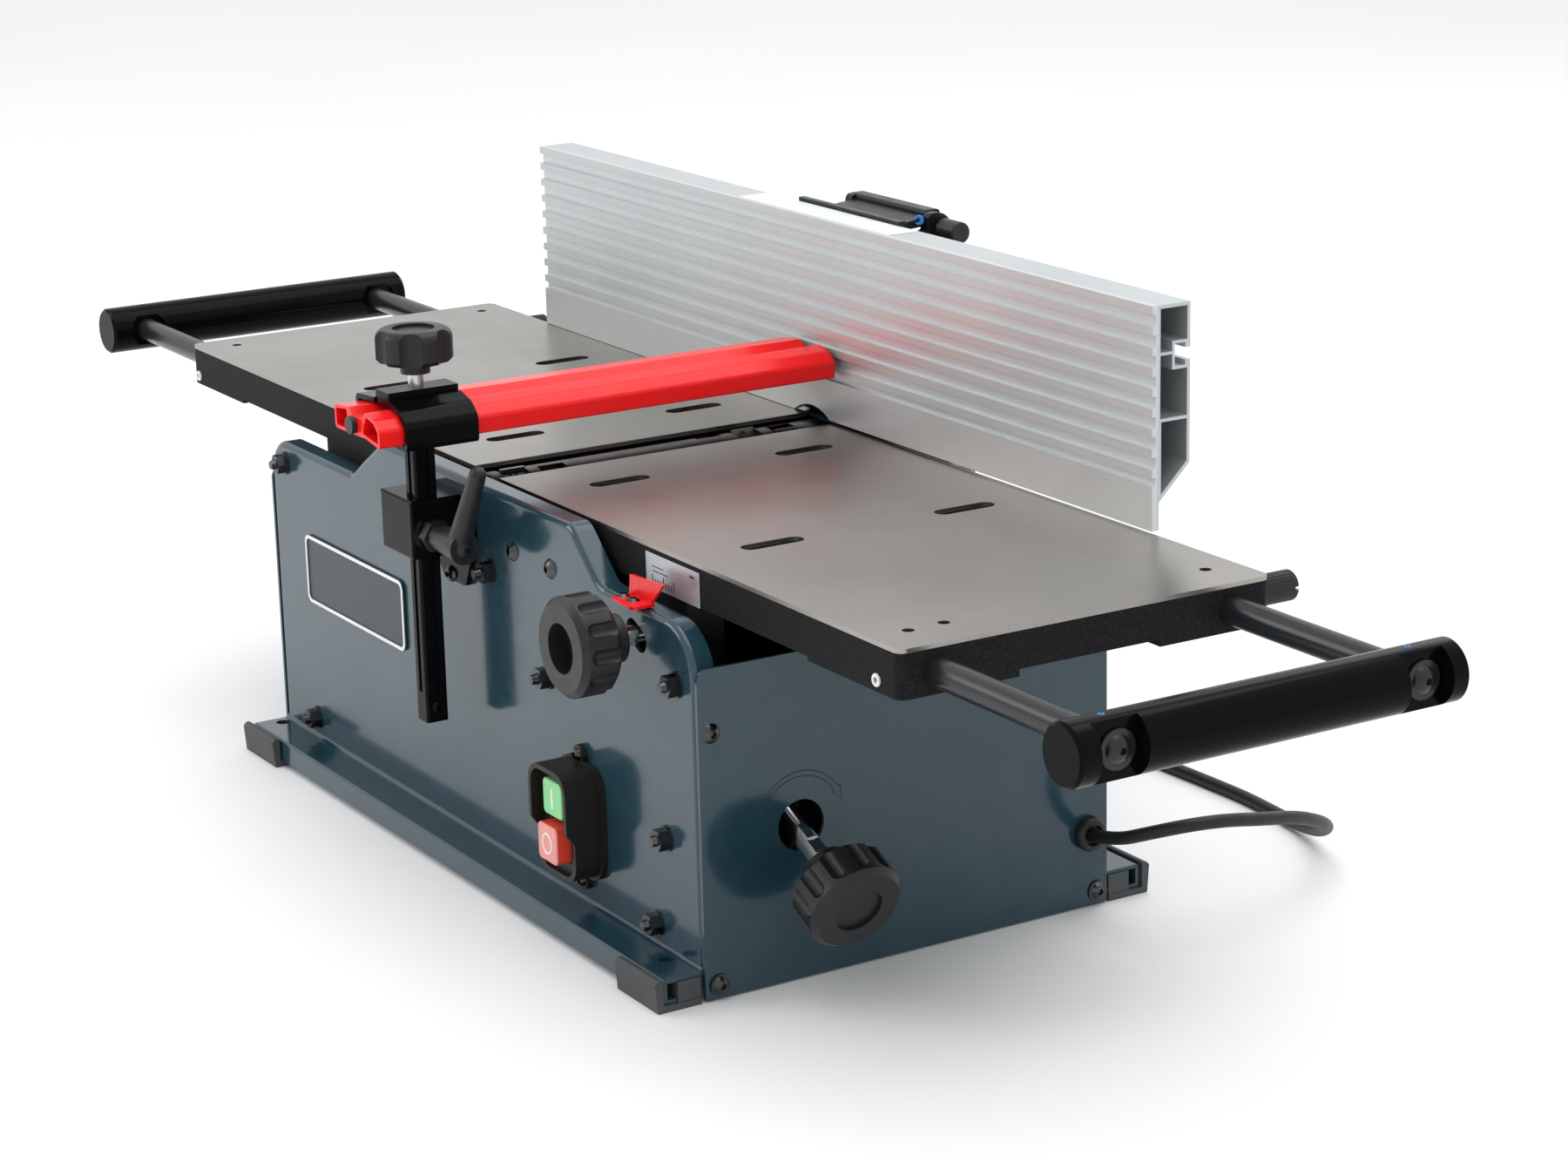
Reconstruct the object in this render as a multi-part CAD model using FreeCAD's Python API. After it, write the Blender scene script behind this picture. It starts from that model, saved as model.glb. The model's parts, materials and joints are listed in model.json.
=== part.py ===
import FreeCAD, Part
import math
import os

# Eight-inch benchtop jointer (surface planer): sheet-metal housing, two cast tables on one
# main casting, a belt-driven cutterhead, a ribbed fence that slides and tilts, and a
# cutter guard on a post.  Lengths in millimetres.
#
# Working frame: X runs along the tables (infeed end +X) with X = 0 over the cutterhead,
# Y = 0 is the tables' front edge with the fence at the back (+Y), Z = 0 is the floor.
# Every node is shifted by -ORIGIN when it is written, so that the part's own origin lies
# on the floor under the middle of its bounding box.

V = FreeCAD.Vector
X, Y, Z = V(1, 0, 0), V(0, 1, 0), V(0, 0, 1)
os.makedirs("parts", exist_ok=True)

# ---- driving dimensions ---------------------------------------------------------------
TABLE_DEPTH = 206.0                      # table width, front to back
GAP = 14.1                               # cutter axis to each table lip
INFEED_END, OUTFEED_END = 394.2, -399.4
INFEED_TOP, OUTFEED_TOP = 212.0, 213.2   # stored at a 1.2 mm depth of cut
TABLE_THICK = 23.5
SHEET = 2.0                              # housing sheet thickness
FRONT_Y, REAR_Y = -16.4, 222.2           # outside faces of the housing
LEFT_X, RIGHT_X = -249.4, 244.2
FLANGE_REACH, FLANGE_TOP = 22.0, 16.0    # base flange: how far out, how high
CUT_R, BODY_R, JOURNAL_R = 24.0, 22.5, 8.5
CUT_Z = OUTFEED_TOP - CUT_R
RAMP = math.radians(25.0)                # slope of the infeed ways
FENCE_Y, FENCE_BACK = 204.2, 226.8
FENCE_X0, FENCE_X1 = -319.7, 304.9
FENCE_TOP, FENCE_BOTTOM = 324.2, 213.5
BAR_R, BAR_Z = 14.5, 198.9
INFEED_BAR_X, OUTFEED_BAR_X = 520.4, -535.5
BAR_Y0, BAR_Y1 = -3.8, 203.3
ROD_R, ROD_YS = 7.0, (20.2, 183.1)
RUN = 0.05                               # radial clearance of a running fit
ARM_Y0, ARM_Y1 = -71.6, 200.8            # guard arm ends
PIVOT_Y, PIVOT_Z = 216.0, 222.0          # fence tilt axis
CARRIAGE_REAR = 352.0                    # rear end of the fence slide
CORD_R = 3.5
GLAND_Y, GLAND_Z, GLAND_LEN = 210.3, 40.5, 5.8
PLUG_HEAD = 3.0                          # plug head in front of the guard arm
ORIGIN = V((INFEED_BAR_X + OUTFEED_BAR_X) / 2, (ARM_Y0 - PLUG_HEAD + CARRIAGE_REAR) / 2, 0)


# ---- shape helpers --------------------------------------------------------------------
def box(x0, y0, z0, x1, y1, z1):
    return Part.makeBox(x1 - x0, y1 - y0, z1 - z0, V(x0, y0, z0))


def cyl(base, axis, radius, length):
    return Part.makeCylinder(radius, length, V(*base), axis)


def cone(base, axis, r0, r1, length):
    return Part.makeCone(r0, r1, length, V(*base), axis)


def union(shapes):
    out = shapes[0].multiFuse(shapes[1:]) if len(shapes) > 1 else shapes[0]
    return out.removeSplitter()


def outline(corners, place):
    """Closed wire through (u, v, radius) corners; each radius rounds its corner."""
    n = len(corners)
    pts = [V(c[0], c[1], 0) for c in corners]
    ends = []
    for i, c in enumerate(corners):
        r = c[2] if len(c) > 2 else 0
        a = (pts[i - 1] - pts[i]).normalize()
        b = (pts[(i + 1) % n] - pts[i]).normalize()
        if r <= 0:
            ends.append((pts[i], None, pts[i]))
            continue
        half = a.getAngle(b) / 2
        back = r / math.tan(half)
        mid = (a + b).normalize()
        centre = pts[i] + mid * (r / math.sin(half))
        ends.append((pts[i] + a * back, centre - mid * r, pts[i] + b * back))
    edges = []
    for i, (start, mid, stop) in enumerate(ends):
        if mid is not None:
            edges.append(Part.Arc(place(start), place(mid), place(stop)).toShape())
        nxt = ends[(i + 1) % n][0]
        if stop.distanceToPoint(nxt) > 1e-6:
            edges.append(Part.LineSegment(place(stop), place(nxt)).toShape())
    return Part.Wire(edges)


def prism_y(corners, y0, y1):
    """Outline in X-Z, extruded along Y."""
    wire = outline(corners, lambda p: V(p.x, y0, p.y))
    return Part.Face(wire).extrude(V(0, y1 - y0, 0))


def prism_x(corners, x0, x1):
    """Outline in Y-Z, extruded along X."""
    wire = outline(corners, lambda p: V(x0, p.x, p.y))
    return Part.Face(wire).extrude(V(x1 - x0, 0, 0))


def prism_z(corners, z0, z1):
    """Outline in X-Y, extruded along Z."""
    wire = outline(corners, lambda p: V(p.x, p.y, z0))
    return Part.Face(wire).extrude(V(0, 0, z1 - z0))


def rect(u0, v0, u1, v1, r=0):
    return [(u0, v0, r), (u1, v0, r), (u1, v1, r), (u0, v1, r)]


def round_edges(shape, radius, wanted):
    """Fillet the edges for which wanted(edge) is true."""
    edges = [e for e in shape.Edges if wanted(e)]
    return shape.makeFillet(radius, edges)


def bevel_edges(shape, size, wanted):
    edges = [e for e in shape.Edges if wanted(e)]
    return shape.makeChamfer(size, edges)


def near(a, b, tol=0.05):
    return abs(a - b) < tol


def flat_at(edge, axis, value):
    """True if the whole edge lies in the plane axis = value."""
    b = edge.BoundBox
    low, high = getattr(b, axis + "Min"), getattr(b, axis + "Max")
    return near(low, value) and near(high, value)


def hexagon(base, axis, across, height):
    """Hexagonal prism; across is the distance over the flats."""
    axis = V(axis).normalize()
    side = axis.cross(Z) if abs(axis.z) < 0.9 else V(1, 0, 0)
    side.normalize()
    other = axis.cross(side)
    reach = across / math.sqrt(3)
    pts = []
    for k in range(7):
        t = math.radians(60 * k)
        pts.append(V(*base) + side * (reach * math.cos(t)) + other * (reach * math.sin(t)))
    return Part.Face(Part.makePolygon(pts)).extrude(axis * height)


def flange_nut(base, axis, stud=3.0):
    """M6 flange nut with the end of its stud."""
    a = V(*base)
    flange = cyl(a, axis, 6.6, 1.4)
    body = hexagon(a + axis * 1.0, axis, 10.0, 5.2)
    end = cone(a + axis * 6.0, axis, 3.0, 2.4, stud)
    return union([flange, body, end])


def button_head(base, axis, radius=5.3, height=3.0, washer=0.0):
    """Button-head screw with a hex socket, on an optional washer."""
    a = V(*base)
    parts = []
    if washer:
        parts.append(cyl(a, axis, washer, 1.2))
        a = a + axis * 1.2
    dome = Part.makeSphere((radius ** 2 + height ** 2) / (2 * height),
                           a - axis * ((radius ** 2 - height ** 2) / (2 * height)))
    parts.append(cyl(a, axis, radius, height).common(dome))
    head = union(parts)
    return head.cut(hexagon(a + axis * (height - 1.8), axis, 3.2, 3.0))


def fluted_knob(base, axis, radius, length, bore, flutes=12, recess=10.0):
    """Hand wheel: fluted rim, smooth face edge, hub behind; base is the hub's inner end.
    bore is (radius, depth) of the blind hole for its shaft."""
    hub_len, hub_r = 10.0, 12.0
    rim0 = V(*base) + axis * hub_len
    rim_len = length - hub_len
    rim = cone(rim0, axis, radius - 3.0, radius, 3.0)
    rim = rim.fuse(cyl(rim0 + axis * 3.0, axis, radius, rim_len - 6.0))
    rim = rim.fuse(cone(rim0 + axis * (rim_len - 3.0), axis, radius, radius - 3.0, 3.0))
    side = axis.cross(Z) if abs(axis.z) < 0.9 else V(1, 0, 0)
    side.normalize()
    other = axis.cross(side)
    flute_r = 4.2
    for k in range(flutes):
        t = 2 * math.pi * k / flutes
        out = side * math.cos(t) + other * math.sin(t)
        at = rim0 + out * (radius + 1.3)
        stop = rim_len - 8.0
        rim = rim.cut(cyl(at - axis * 1.0, axis, flute_r, stop + 1.0))
        rim = rim.cut(Part.makeSphere(flute_r, at + axis * stop))
    rim = rim.cut(cyl(rim0 + axis * (rim_len - recess), axis, 12.5, recess + 1.0))
    hub = cyl(V(*base), axis, hub_r, hub_len + 1.0)
    return rim.fuse(hub).cut(cyl(V(*base) - axis, axis, bore[0], bore[1] + 1.0))


def star_knob(base, radius, height, bore, lobes=6):
    """Lobed clamp knob on a vertical axis; base is the hub's lower end."""
    hub_h, hub_r = 6.0, 7.8
    a = V(*base) + Z * hub_h
    body = cyl(a, Z, radius, height)
    body = round_edges(body, 5.0, lambda e: flat_at(e, "Z", a.z + height))
    body = bevel_edges(body, 2.0, lambda e: flat_at(e, "Z", a.z))
    for k in range(lobes):
        t = 2 * math.pi * (k + 0.5) / lobes
        at = a + V(math.cos(t), math.sin(t), 0) * (radius + 4.6)
        body = body.cut(cyl(at - Z, Z, 8.2, height + 2))
    body = body.cut(cyl(a + Z * (height - 1.5), Z, 11.0, 3.0))
    body = body.fuse(cyl(V(*base), Z, hub_r, hub_h + 2.0))
    return body.cut(cyl(V(*base) - Z, Z, bore[0], bore[1] + 1.0))


def screw_axis_point(s):
    """Point on the height screw, s from where it crosses the end panel, outwards."""
    return V(RIGHT_X, 39.4, 75.5) + SCREW_DIR * s


SCREW_DIR = V(math.cos(RAMP), 0, -math.sin(RAMP))
NODES = {}


# ---- housing --------------------------------------------------------------------------
def panel_outline(x0, x1, top, hump, inset=0.0):
    """Side of the housing: level top with a hump over the cutterhead; inset shrinks it."""
    i = inset
    return [(x0 + i, 0, 0), (x0 + i, top - i, 18 - i), (-137.5 - i * 0.3, top - i, 8 + i),
            (-97 + i * 0.5, hump - i, 12 - i), (122 - i * 0.5, hump - i, 12 - i),
            (150 + i * 0.3, top + 1 - i, 12 + i), (x1 - i, top - 1.5 - i, 28 - i), (x1 - i, 0, 0)]


def side_panel(front):
    """Front or rear panel: folded rim along its outline, base flange bent outwards."""
    x0, x1 = LEFT_X + SHEET + 0.2, RIGHT_X - SHEET - 0.2
    hump = 212.5 if front else 211.5
    face, sign = (FRONT_Y, 1) if front else (REAR_Y, -1)
    rim = 12.0
    y0, y1 = sorted((face, face + sign * rim))
    body = prism_y(panel_outline(x0, x1, 186.5, hump), y0, y1)
    body = round_edges(body, 3.5, lambda e: flat_at(e, "Y", face) and e.BoundBox.ZMin > 1)
    y0, y1 = sorted((face + sign * SHEET, face + sign * (rim + 1)))
    body = body.cut(prism_y(panel_outline(x0, x1, 186.5, hump, SHEET), y0, y1))
    body = body.cut(box(x0 - 5, face - 20, -1, x1 + 5, face + 20, FLANGE_TOP - SHEET))
    out = face - sign * FLANGE_REACH
    y0, y1 = sorted((out, face + sign * SHEET))
    flange = box(x0, y0, FLANGE_TOP - SHEET, x1, y1, FLANGE_TOP)
    y0, y1 = sorted((out, out + sign * SHEET))
    lip = box(x0, y0, 3.5, x1, y1, FLANGE_TOP)
    y0, y1 = sorted((out, out + sign * 7.0))
    hem = box(x0, y0, 3.5, x1, y1, 3.5 + SHEET)
    flange = round_edges(union([flange, lip, hem]), 1.8,
                         lambda e: flat_at(e, "Y", out) and flat_at(e, "Z", FLANGE_TOP))
    body = union([body, flange])
    for x in FOOT_HOLES:
        body = body.cut(cyl((x, face - sign * HOLE_OUT, FLANGE_TOP - 5), Z, BENCH_HOLE_R, 10))
    return body


FOOT_HOLES = (-238.7, 218.5)             # bench bolt holes through the flanges and feet
HOLE_OUT, BENCH_HOLE_R = 7.0, 4.0
FEET = ((-249.4, -207.4), (203.7, 243.7))
FOOT_BASE = 3.4


def front_panel():
    body = side_panel(True)
    slot = V(math.cos(RAMP), 0, -math.sin(RAMP))
    centre = V(186.3, FRONT_Y - 1, 171.8)
    tool = cyl(centre + slot * 5.0, Y, 6.0, 4)
    tool = tool.fuse(cyl(centre - slot * 3.5, Y, 6.0, 4))
    bar = box(-3.5, 0, -6.0, 5.0, 4, 6.0)
    bar.rotate(V(0, 0, 0), Y, math.degrees(RAMP))
    bar.translate(centre)
    body = body.cut(union([tool, bar]))
    switch_hole = box(113, FRONT_Y - 1, 39, 141, FRONT_Y + SHEET + 1, 86)
    return body.cut(switch_hole)


def rear_panel():
    body = side_panel(False)
    body = body.cut(cyl((0, REAR_Y - 5, CUT_Z), Y, 12.0, 10))
    body = body.cut(cyl((MOTOR_X, REAR_Y - 5, MOTOR_Z), Y, 12.0, 10))
    body = body.cut(cyl((RIGHT_X - 14, GLAND_Y, GLAND_Z), X, 10.0, 14))
    return body.cut(cyl((PORT_X, REAR_Y - 5, PORT_Z), Y, PORT_R + 0.2, 10))


def end_panel(infeed):
    x0 = RIGHT_X - SHEET if infeed else LEFT_X
    section = [(FRONT_Y, 1, 0), (FRONT_Y, 167.5, 6), (REAR_Y, 167.5, 6), (REAR_Y, 1, 0)]
    body = prism_x(section, x0, x0 + SHEET)
    if infeed:
        body = body.cut(cyl((x0 - 1, 39.4, 79.9), X, 13.0, 4))
        body = body.cut(cyl((x0 - 1, GLAND_Y, GLAND_Z), X, 6.0, 4))
    return body


def foot(x0, x1, front):
    """Plastic corner foot: base under the flange's end, a wall outside its lip and a core."""
    face, sign = (FRONT_Y, 1) if front else (REAR_Y, -1)
    out = face - sign * FLANGE_REACH
    inner = face - sign * 2.0
    wall = [(out - sign * 4.4, 0, 0.8), (out - sign * 5.6, FLANGE_TOP - 0.8, 2.0),
            (out - sign * 3.6, FLANGE_TOP + 0.9, 1.2), (out - sign * 1.0, FLANGE_TOP + 0.9, 1.0),
            (out - sign * 1.0, FOOT_BASE, 0), (inner, FOOT_BASE, 0), (inner, 0, 0)]
    body = prism_x(wall, x0, x1)
    core0, core1 = sorted((out + sign * 7.2, inner))
    body = body.fuse(box(x0 + 0.6, core0, FOOT_BASE - 1, x1 - 0.6, core1, FLANGE_TOP - SHEET - 0.1))
    hole_x = FOOT_HOLES[0] if x0 < 0 else FOOT_HOLES[1]
    hole = cyl((hole_x, face - sign * HOLE_OUT, -1), Z, BENCH_HOLE_R + 0.2, 30)
    return body.removeSplitter().cut(hole)


# ---- tables ---------------------------------------------------------------------------
def table(infeed):
    top = INFEED_TOP if infeed else OUTFEED_TOP
    s = 1 if infeed else -1
    lip, end = (GAP, INFEED_END) if infeed else (-GAP, OUTFEED_END)
    under = top - TABLE_THICK
    section = [(lip, top, 0), (end, top, 0), (end, under, 0), (s * 44, under, 0),
               (s * 25, top - 10, 6), (lip, top - 2.2, 0)]
    body = prism_y(section, 0, TABLE_DEPTH)
    body = round_edges(body, 5.0, lambda e: flat_at(e, "X", end) and not (
        flat_at(e, "Z", top) or flat_at(e, "Z", under)))
    # hollow underside between the skirts, with ribs and rod bosses left in
    boss0, boss1 = sorted((end, end - s * 40))
    x0, x1 = sorted((s * 56, end - s * 12))
    pocket = box(x0, 10, under - 1, x1, TABLE_DEPTH - 10, top - 8)
    keep = []
    for x in (s * 134, s * 250):
        keep.append(box(x - 4, 30, under, x + 4, 172, top - 5))
    for y in (72, 134):
        keep.append(box(x0, y - 4, under + 4, x1, y + 4, top - 5))
    for y in ROD_YS:
        keep.append(box(boss0, y - 11, under, boss1, y + 11, top - 5))
    body = body.cut(pocket.cut(union(keep)))
    # the end wall and the skirts are lower between their corner pads
    step0, step1 = sorted((end - s * 13, end + s))
    body = body.cut(box(step0, 64, under - 1, step1, 142, under + 3.5))
    pad0, pad1 = sorted((s * 70, end - s * 76))
    body = body.cut(box(pad0, -1, under - 1, pad1, 11, under + 2.0))
    for y in ROD_YS:
        b0, b1 = sorted((end - s * 165, end + s))
        body = body.cut(cyl((b0, y, BAR_Z), X, ROD_R + RUN, b1 - b0))
    holes = INFEED_HOLES if infeed else OUTFEED_HOLES
    for x, y in holes:
        body = body.cut(cyl((x, y, top - 12), Z, 2.9, 13))
    for x in ((56.5, 209.0) if infeed else (-61.0, -217.0)):
        for y in (32.0, 144.0):
            slot = prism_z(rect(x - 5.0, y - 1, x + 5.0, y + 33.5, 4.95), top - 12, top + 1)
            body = body.cut(slot)
    # tapped hole for the rear clamping screw
    x = THUMB_X if infeed else -THUMB_X
    return body.cut(cyl((x, ROD_YS[1] + ROD_R, BAR_Z), Y, 3.0 + RUN, 30))


INFEED_HOLES = [(370.7, 20.5), (369.8, 40.1), (368.9, 187.3)]
OUTFEED_HOLES = [(-379.3, 21.1), (-379.9, 189.1)]
THUMB_X, THUMB_LEN = 376.0, 25.0


def thumbscrew(x):
    """Knurled, slotted clamping screw in the rear edge of a table."""
    head = cyl((x, TABLE_DEPTH + 1.0, BAR_Z), Y, 7.5, THUMB_LEN)
    head = bevel_edges(head, 0.8, lambda e: e.isClosed())
    notches = []
    for k in range(24):
        t = 2 * math.pi * k / 24
        at = (x + 7.9 * math.cos(t), TABLE_DEPTH, BAR_Z + 7.9 * math.sin(t))
        notches.append(cyl(at, Y, 0.8, THUMB_LEN + 2))
    head = head.cut(union(notches))
    end = TABLE_DEPTH + THUMB_LEN
    head = head.cut(box(x - 9, end - 1.5, BAR_Z - 0.9, x + 9, end + 2, BAR_Z + 0.9))
    shank = cyl((x, ROD_YS[1] + ROD_R + 0.3, BAR_Z), Y, 3.0, TABLE_DEPTH + 1.5 - ROD_YS[1] - ROD_R)
    return union([head, shank])


# ---- work-support bars ----------------------------------------------------------------
NOTCH_FLOOR, NOTCH_HALF = 5.4, 12.0      # flat for each end screw: off the axis, half its length
SEAT_R, SEAT_FLOOR = 11.5, 11.0          # round seat where a rod enters its bar
ROD_REACH, SET_SCREW_R = 2.5, 1.8        # rod end past the bar's axis; hole of its set screw


def support_bar(infeed):
    x, s = (INFEED_BAR_X, 1) if infeed else (OUTFEED_BAR_X, -1)
    body = cyl((x, BAR_Y0, BAR_Z), Y, BAR_R, BAR_Y1 - BAR_Y0)
    body = bevel_edges(body, 1.5, lambda e: e.isClosed())
    for y in ROD_YS:
        notch = box(0, y - NOTCH_HALF - 1.5, BAR_Z - 20, 20, y + NOTCH_HALF - 1.5, BAR_Z + 20)
        notch.translate(V(x + NOTCH_FLOOR if infeed else x - NOTCH_FLOOR - 20, 0, 0))
        body = body.cut(notch)
        body = body.cut(cyl((x - s * 20, y, BAR_Z), X * s, ROD_R, 20 + ROD_REACH))
        body = body.cut(cyl((x - s * 20, y, BAR_Z), X * s, SEAT_R, 20 - SEAT_FLOOR))
        body = body.cut(cyl((x - s * 7, y, BAR_Z), X * s, 3.0, 30))
        body = body.cut(cyl((x, y - 4, BAR_Z + ROD_R - 1), Z, SET_SCREW_R, 12))
    return body


def support_rods(infeed):
    x, s = (INFEED_BAR_X, 1) if infeed else (OUTFEED_BAR_X, -1)
    end = INFEED_END if infeed else OUTFEED_END
    tip = end - s * 50
    rods = []
    for y in ROD_YS:
        rod = cyl((tip, y, BAR_Z), X * s, ROD_R, abs(x + s * ROD_REACH - tip))
        rods.append(bevel_edges(rod, 0.8, lambda e: flat_at(e, "X", tip)))
    return Part.makeCompound(rods)


def bar_screws(infeed):
    x, s = (INFEED_BAR_X, 1) if infeed else (OUTFEED_BAR_X, -1)
    face = x + s * NOTCH_FLOOR
    screws = []
    for y in ROD_YS:
        head = button_head((face, y, BAR_Z), X * s, 6.5, 3.6, 9.0)
        shank = cyl((x + s * ROD_REACH, y, BAR_Z), X * s, 3.0, NOTCH_FLOOR - ROD_REACH + 1)
        screws.append(union([head, shank]))
    return Part.makeCompound(screws)


# ---- main casting and cutterhead ------------------------------------------------------
MOTOR_X, MOTOR_Z = -130.0, 82.0
PORT_X, PORT_Z, PORT_R, PORT_BORE = 62.0, 60.0, 31.5, 29.0
BEARING_R = 17.5
RAIL_YS = ((5, 25), (181, 201))


def way_z(x):
    """Height of the inclined ways under the infeed table."""
    return 150.0 - (x - 60.0) * math.tan(RAMP)


def main_casting():
    cheek = [(-60, 105, 6), (45, 105, 6), (110, 160, 8), (110, 184, 8), (52, 184, 10),
             (27, 208, 8), (-27, 208, 8), (-60, 182, 6)]
    parts = [prism_y(cheek, -14.3, -2.2), prism_y(cheek, 207.5, 220.1)]
    parts.append(box(-60, -10, 105, -50, 215, 150))
    parts.append(box(35, -10, 105, 45, 215, 150))
    for y0, y1 in RAIL_YS:
        rail = [(40, way_z(40), 0), (215, way_z(215), 0), (215, way_z(215) - 22, 3),
                (40, way_z(40) - 45, 0)]
        parts.append(prism_y(rail, y0, y1))
        arm = [(-215, OUTFEED_TOP - TABLE_THICK, 0), (-52, OUTFEED_TOP - TABLE_THICK, 0),
               (-52, 120, 0), (-70, 140, 10), (-215, 172, 4)]
        parts.append(prism_y(arm, y0, y1))
    parts.append(box(203, 5, way_z(215) - 18, 215, 201, way_z(215) - 2))
    post = box(203, 26, way_z(215) - 15, 215, 53, 106)
    parts.append(post)
    body = union(parts)
    for y0 in (-15, 206):
        body = body.cut(cyl((0, y0, CUT_Z), Y, BEARING_R, 16))
    bore = screw_axis_point(-60)
    return body.cut(Part.makeCylinder(6.0 + RUN, 60, bore, SCREW_DIR))


def bearing(y0):
    ring = cyl((0, y0, CUT_Z), Y, BEARING_R, 10)
    ring = ring.cut(cyl((0, y0 - 1, CUT_Z), Y, JOURNAL_R + RUN, 12))
    groove = cyl((0, y0 - 1, CUT_Z), Y, 14.8, 1.6).cut(cyl((0, y0 - 1, CUT_Z), Y, 11.4, 1.6))
    ring = ring.cut(groove)
    groove.translate(V(0, 10.4, 0))
    return ring.cut(groove)


INSERT_ROWS, INSERTS_PER_ROW, INSERT_PITCH = 2, 9, 22.0


def insert_places():
    """Angle and position along the head of each carbide insert."""
    for row in range(INSERT_ROWS):
        for k in range(INSERTS_PER_ROW):
            y = 14.0 + k * INSERT_PITCH + row * INSERT_PITCH / 2
            angle = 360.0 / INSERT_ROWS * row + 28.0 * k
            if y < TABLE_DEPTH - 10:
                yield angle, y


def on_head(shape, angle):
    """Turn a shape made at the top of the head round the head's axis."""
    shape.rotate(V(0, 0, CUT_Z), Y, angle)
    return shape


def cutterhead():
    body = cyl((0, 1.0, CUT_Z), Y, BODY_R, TABLE_DEPTH - 2.0)
    body = bevel_edges(body, 1.0, lambda e: e.isClosed())
    pockets = []
    for angle, y in insert_places():
        pocket = box(-9, y - 7.6, CUT_Z + 17.0, 2.6, y + 7.6, CUT_Z + 26)
        gullet = cyl((9.5, y - 7.6, CUT_Z + 22), Y, 7.0, 15.2)
        pockets.append(on_head(pocket.fuse(gullet), angle))
    body = body.cut(Part.makeCompound(pockets))
    shaft = cyl((0, -13.5, CUT_Z), Y, JOURNAL_R, 235 + 13.5)
    return union([body, shaft])


def cutter_inserts():
    out = []
    for angle, y in insert_places():
        plate = box(0, y - 7, CUT_Z + 10, 2.5, y + 7, CUT_Z + 23.8)
        seat = cyl((0, y - 8, CUT_Z), Y, 17.3, 16)
        out.append(on_head(plate.cut(seat), angle))
    return Part.makeCompound(out)


BELT_Y0, BELT_Y1 = 226.0, 237.0
HEAD_PULLEY_R, MOTOR_PULLEY_R = 12.5, 25.0


def pulley(x, z, radius, bore):
    body = cyl((x, BELT_Y0 - 1, z), Y, radius, BELT_Y1 - BELT_Y0)
    flange = cyl((x, BELT_Y0 - 2, z), Y, radius + 1.6, 1.5)
    body = body.fuse(flange)
    grooves = []
    for k in range(4):
        y = BELT_Y0 + 1.5 + 2.3 * k
        ring = cyl((x, y, z), Y, radius + 1, 1.0).cut(cyl((x, y, z), Y, radius - 1.2, 1.0))
        grooves.append(ring)
    body = body.cut(Part.makeCompound(grooves))
    return body.cut(cyl((x, BELT_Y0 - 3, z), Y, bore, 20))


def belt_path(grow):
    """Outline in X-Z round both pulleys, a distance grow outside them."""
    r1, r0 = MOTOR_PULLEY_R + grow, HEAD_PULLEY_R + grow
    a, b = V(MOTOR_X, 0, MOTOR_Z), V(0, 0, CUT_Z)
    along = (b - a).normalize()
    dist = (b - a).Length
    up = V(-along.z, 0, along.x)
    lean = (r1 - r0) / dist
    n1 = along * lean + up * math.sqrt(1 - lean ** 2)
    n2 = along * lean - up * math.sqrt(1 - lean ** 2)
    edges = [Part.LineSegment(a + n1 * r1, b + n1 * r0).toShape(),
             Part.Arc(b + n1 * r0, b + along * r0, b + n2 * r0).toShape(),
             Part.LineSegment(b + n2 * r0, a + n2 * r1).toShape(),
             Part.Arc(a + n2 * r1, a - along * r1, a + n1 * r1).toShape()]
    return Part.Wire(edges)


def belt_solid(grow, y0, y1):
    face = Part.Face(belt_path(grow))
    face.translate(V(0, y0, 0))
    return face.extrude(V(0, y1 - y0, 0))


def drive_belt():
    y0, y1 = BELT_Y0 + 0.3, BELT_Y1 - 1.5
    return belt_solid(3.2, y0, y1).cut(belt_solid(0.3, y0 - 1, y1 + 1))


def belt_cover():
    outer = belt_solid(7.2, REAR_Y + 0.1, BELT_Y1 + 4.0)
    outer = round_edges(outer, 3.0, lambda e: flat_at(e, "Y", BELT_Y1 + 4.0))
    return outer.cut(belt_solid(5.4, REAR_Y, BELT_Y1 + 2.0))


# ---- motor ----------------------------------------------------------------------------
def motor_body():
    can = cyl((MOTOR_X, 30, MOTOR_Z), Y, 52.0, 150)
    can = can.cut(cyl((MOTOR_X, 29, MOTOR_Z), Y, 48.0, 152))
    for k in range(24):
        t = 2 * math.pi * k / 24
        fin = box(-1.2, 40, 51, 1.2, 170, 56)
        fin.rotate(V(0, 0, 0), Y, math.degrees(t))
        fin.translate(V(MOTOR_X, 0, MOTOR_Z))
        can = can.fuse(fin)
    return can.removeSplitter()


def motor_end_caps():
    front = cyl((MOTOR_X, 12, MOTOR_Z), Y, 52.0, 18)
    front = front.cut(cyl((MOTOR_X, 15, MOTOR_Z), Y, 46.0, 16))
    front = front.cut(cyl((MOTOR_X, 5, MOTOR_Z), Y, 6.05, 12))
    for k in range(8):
        t = math.radians(45 * k)
        hole = cyl((MOTOR_X + 30 * math.cos(t), 5, MOTOR_Z + 30 * math.sin(t)), Y, 7, 12)
        front = front.cut(hole)
    rear = cyl((MOTOR_X, 180, MOTOR_Z), Y, 52.0, 40)
    rear = round_edges(rear, 4.0, lambda e: flat_at(e, "Y", 180))
    rear = rear.cut(cyl((MOTOR_X, 179, MOTOR_Z), Y, 46.0, 24))
    rear = rear.cut(cyl((MOTOR_X, 170, MOTOR_Z), Y, 6.05, 60))
    return [front, rear]


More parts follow.
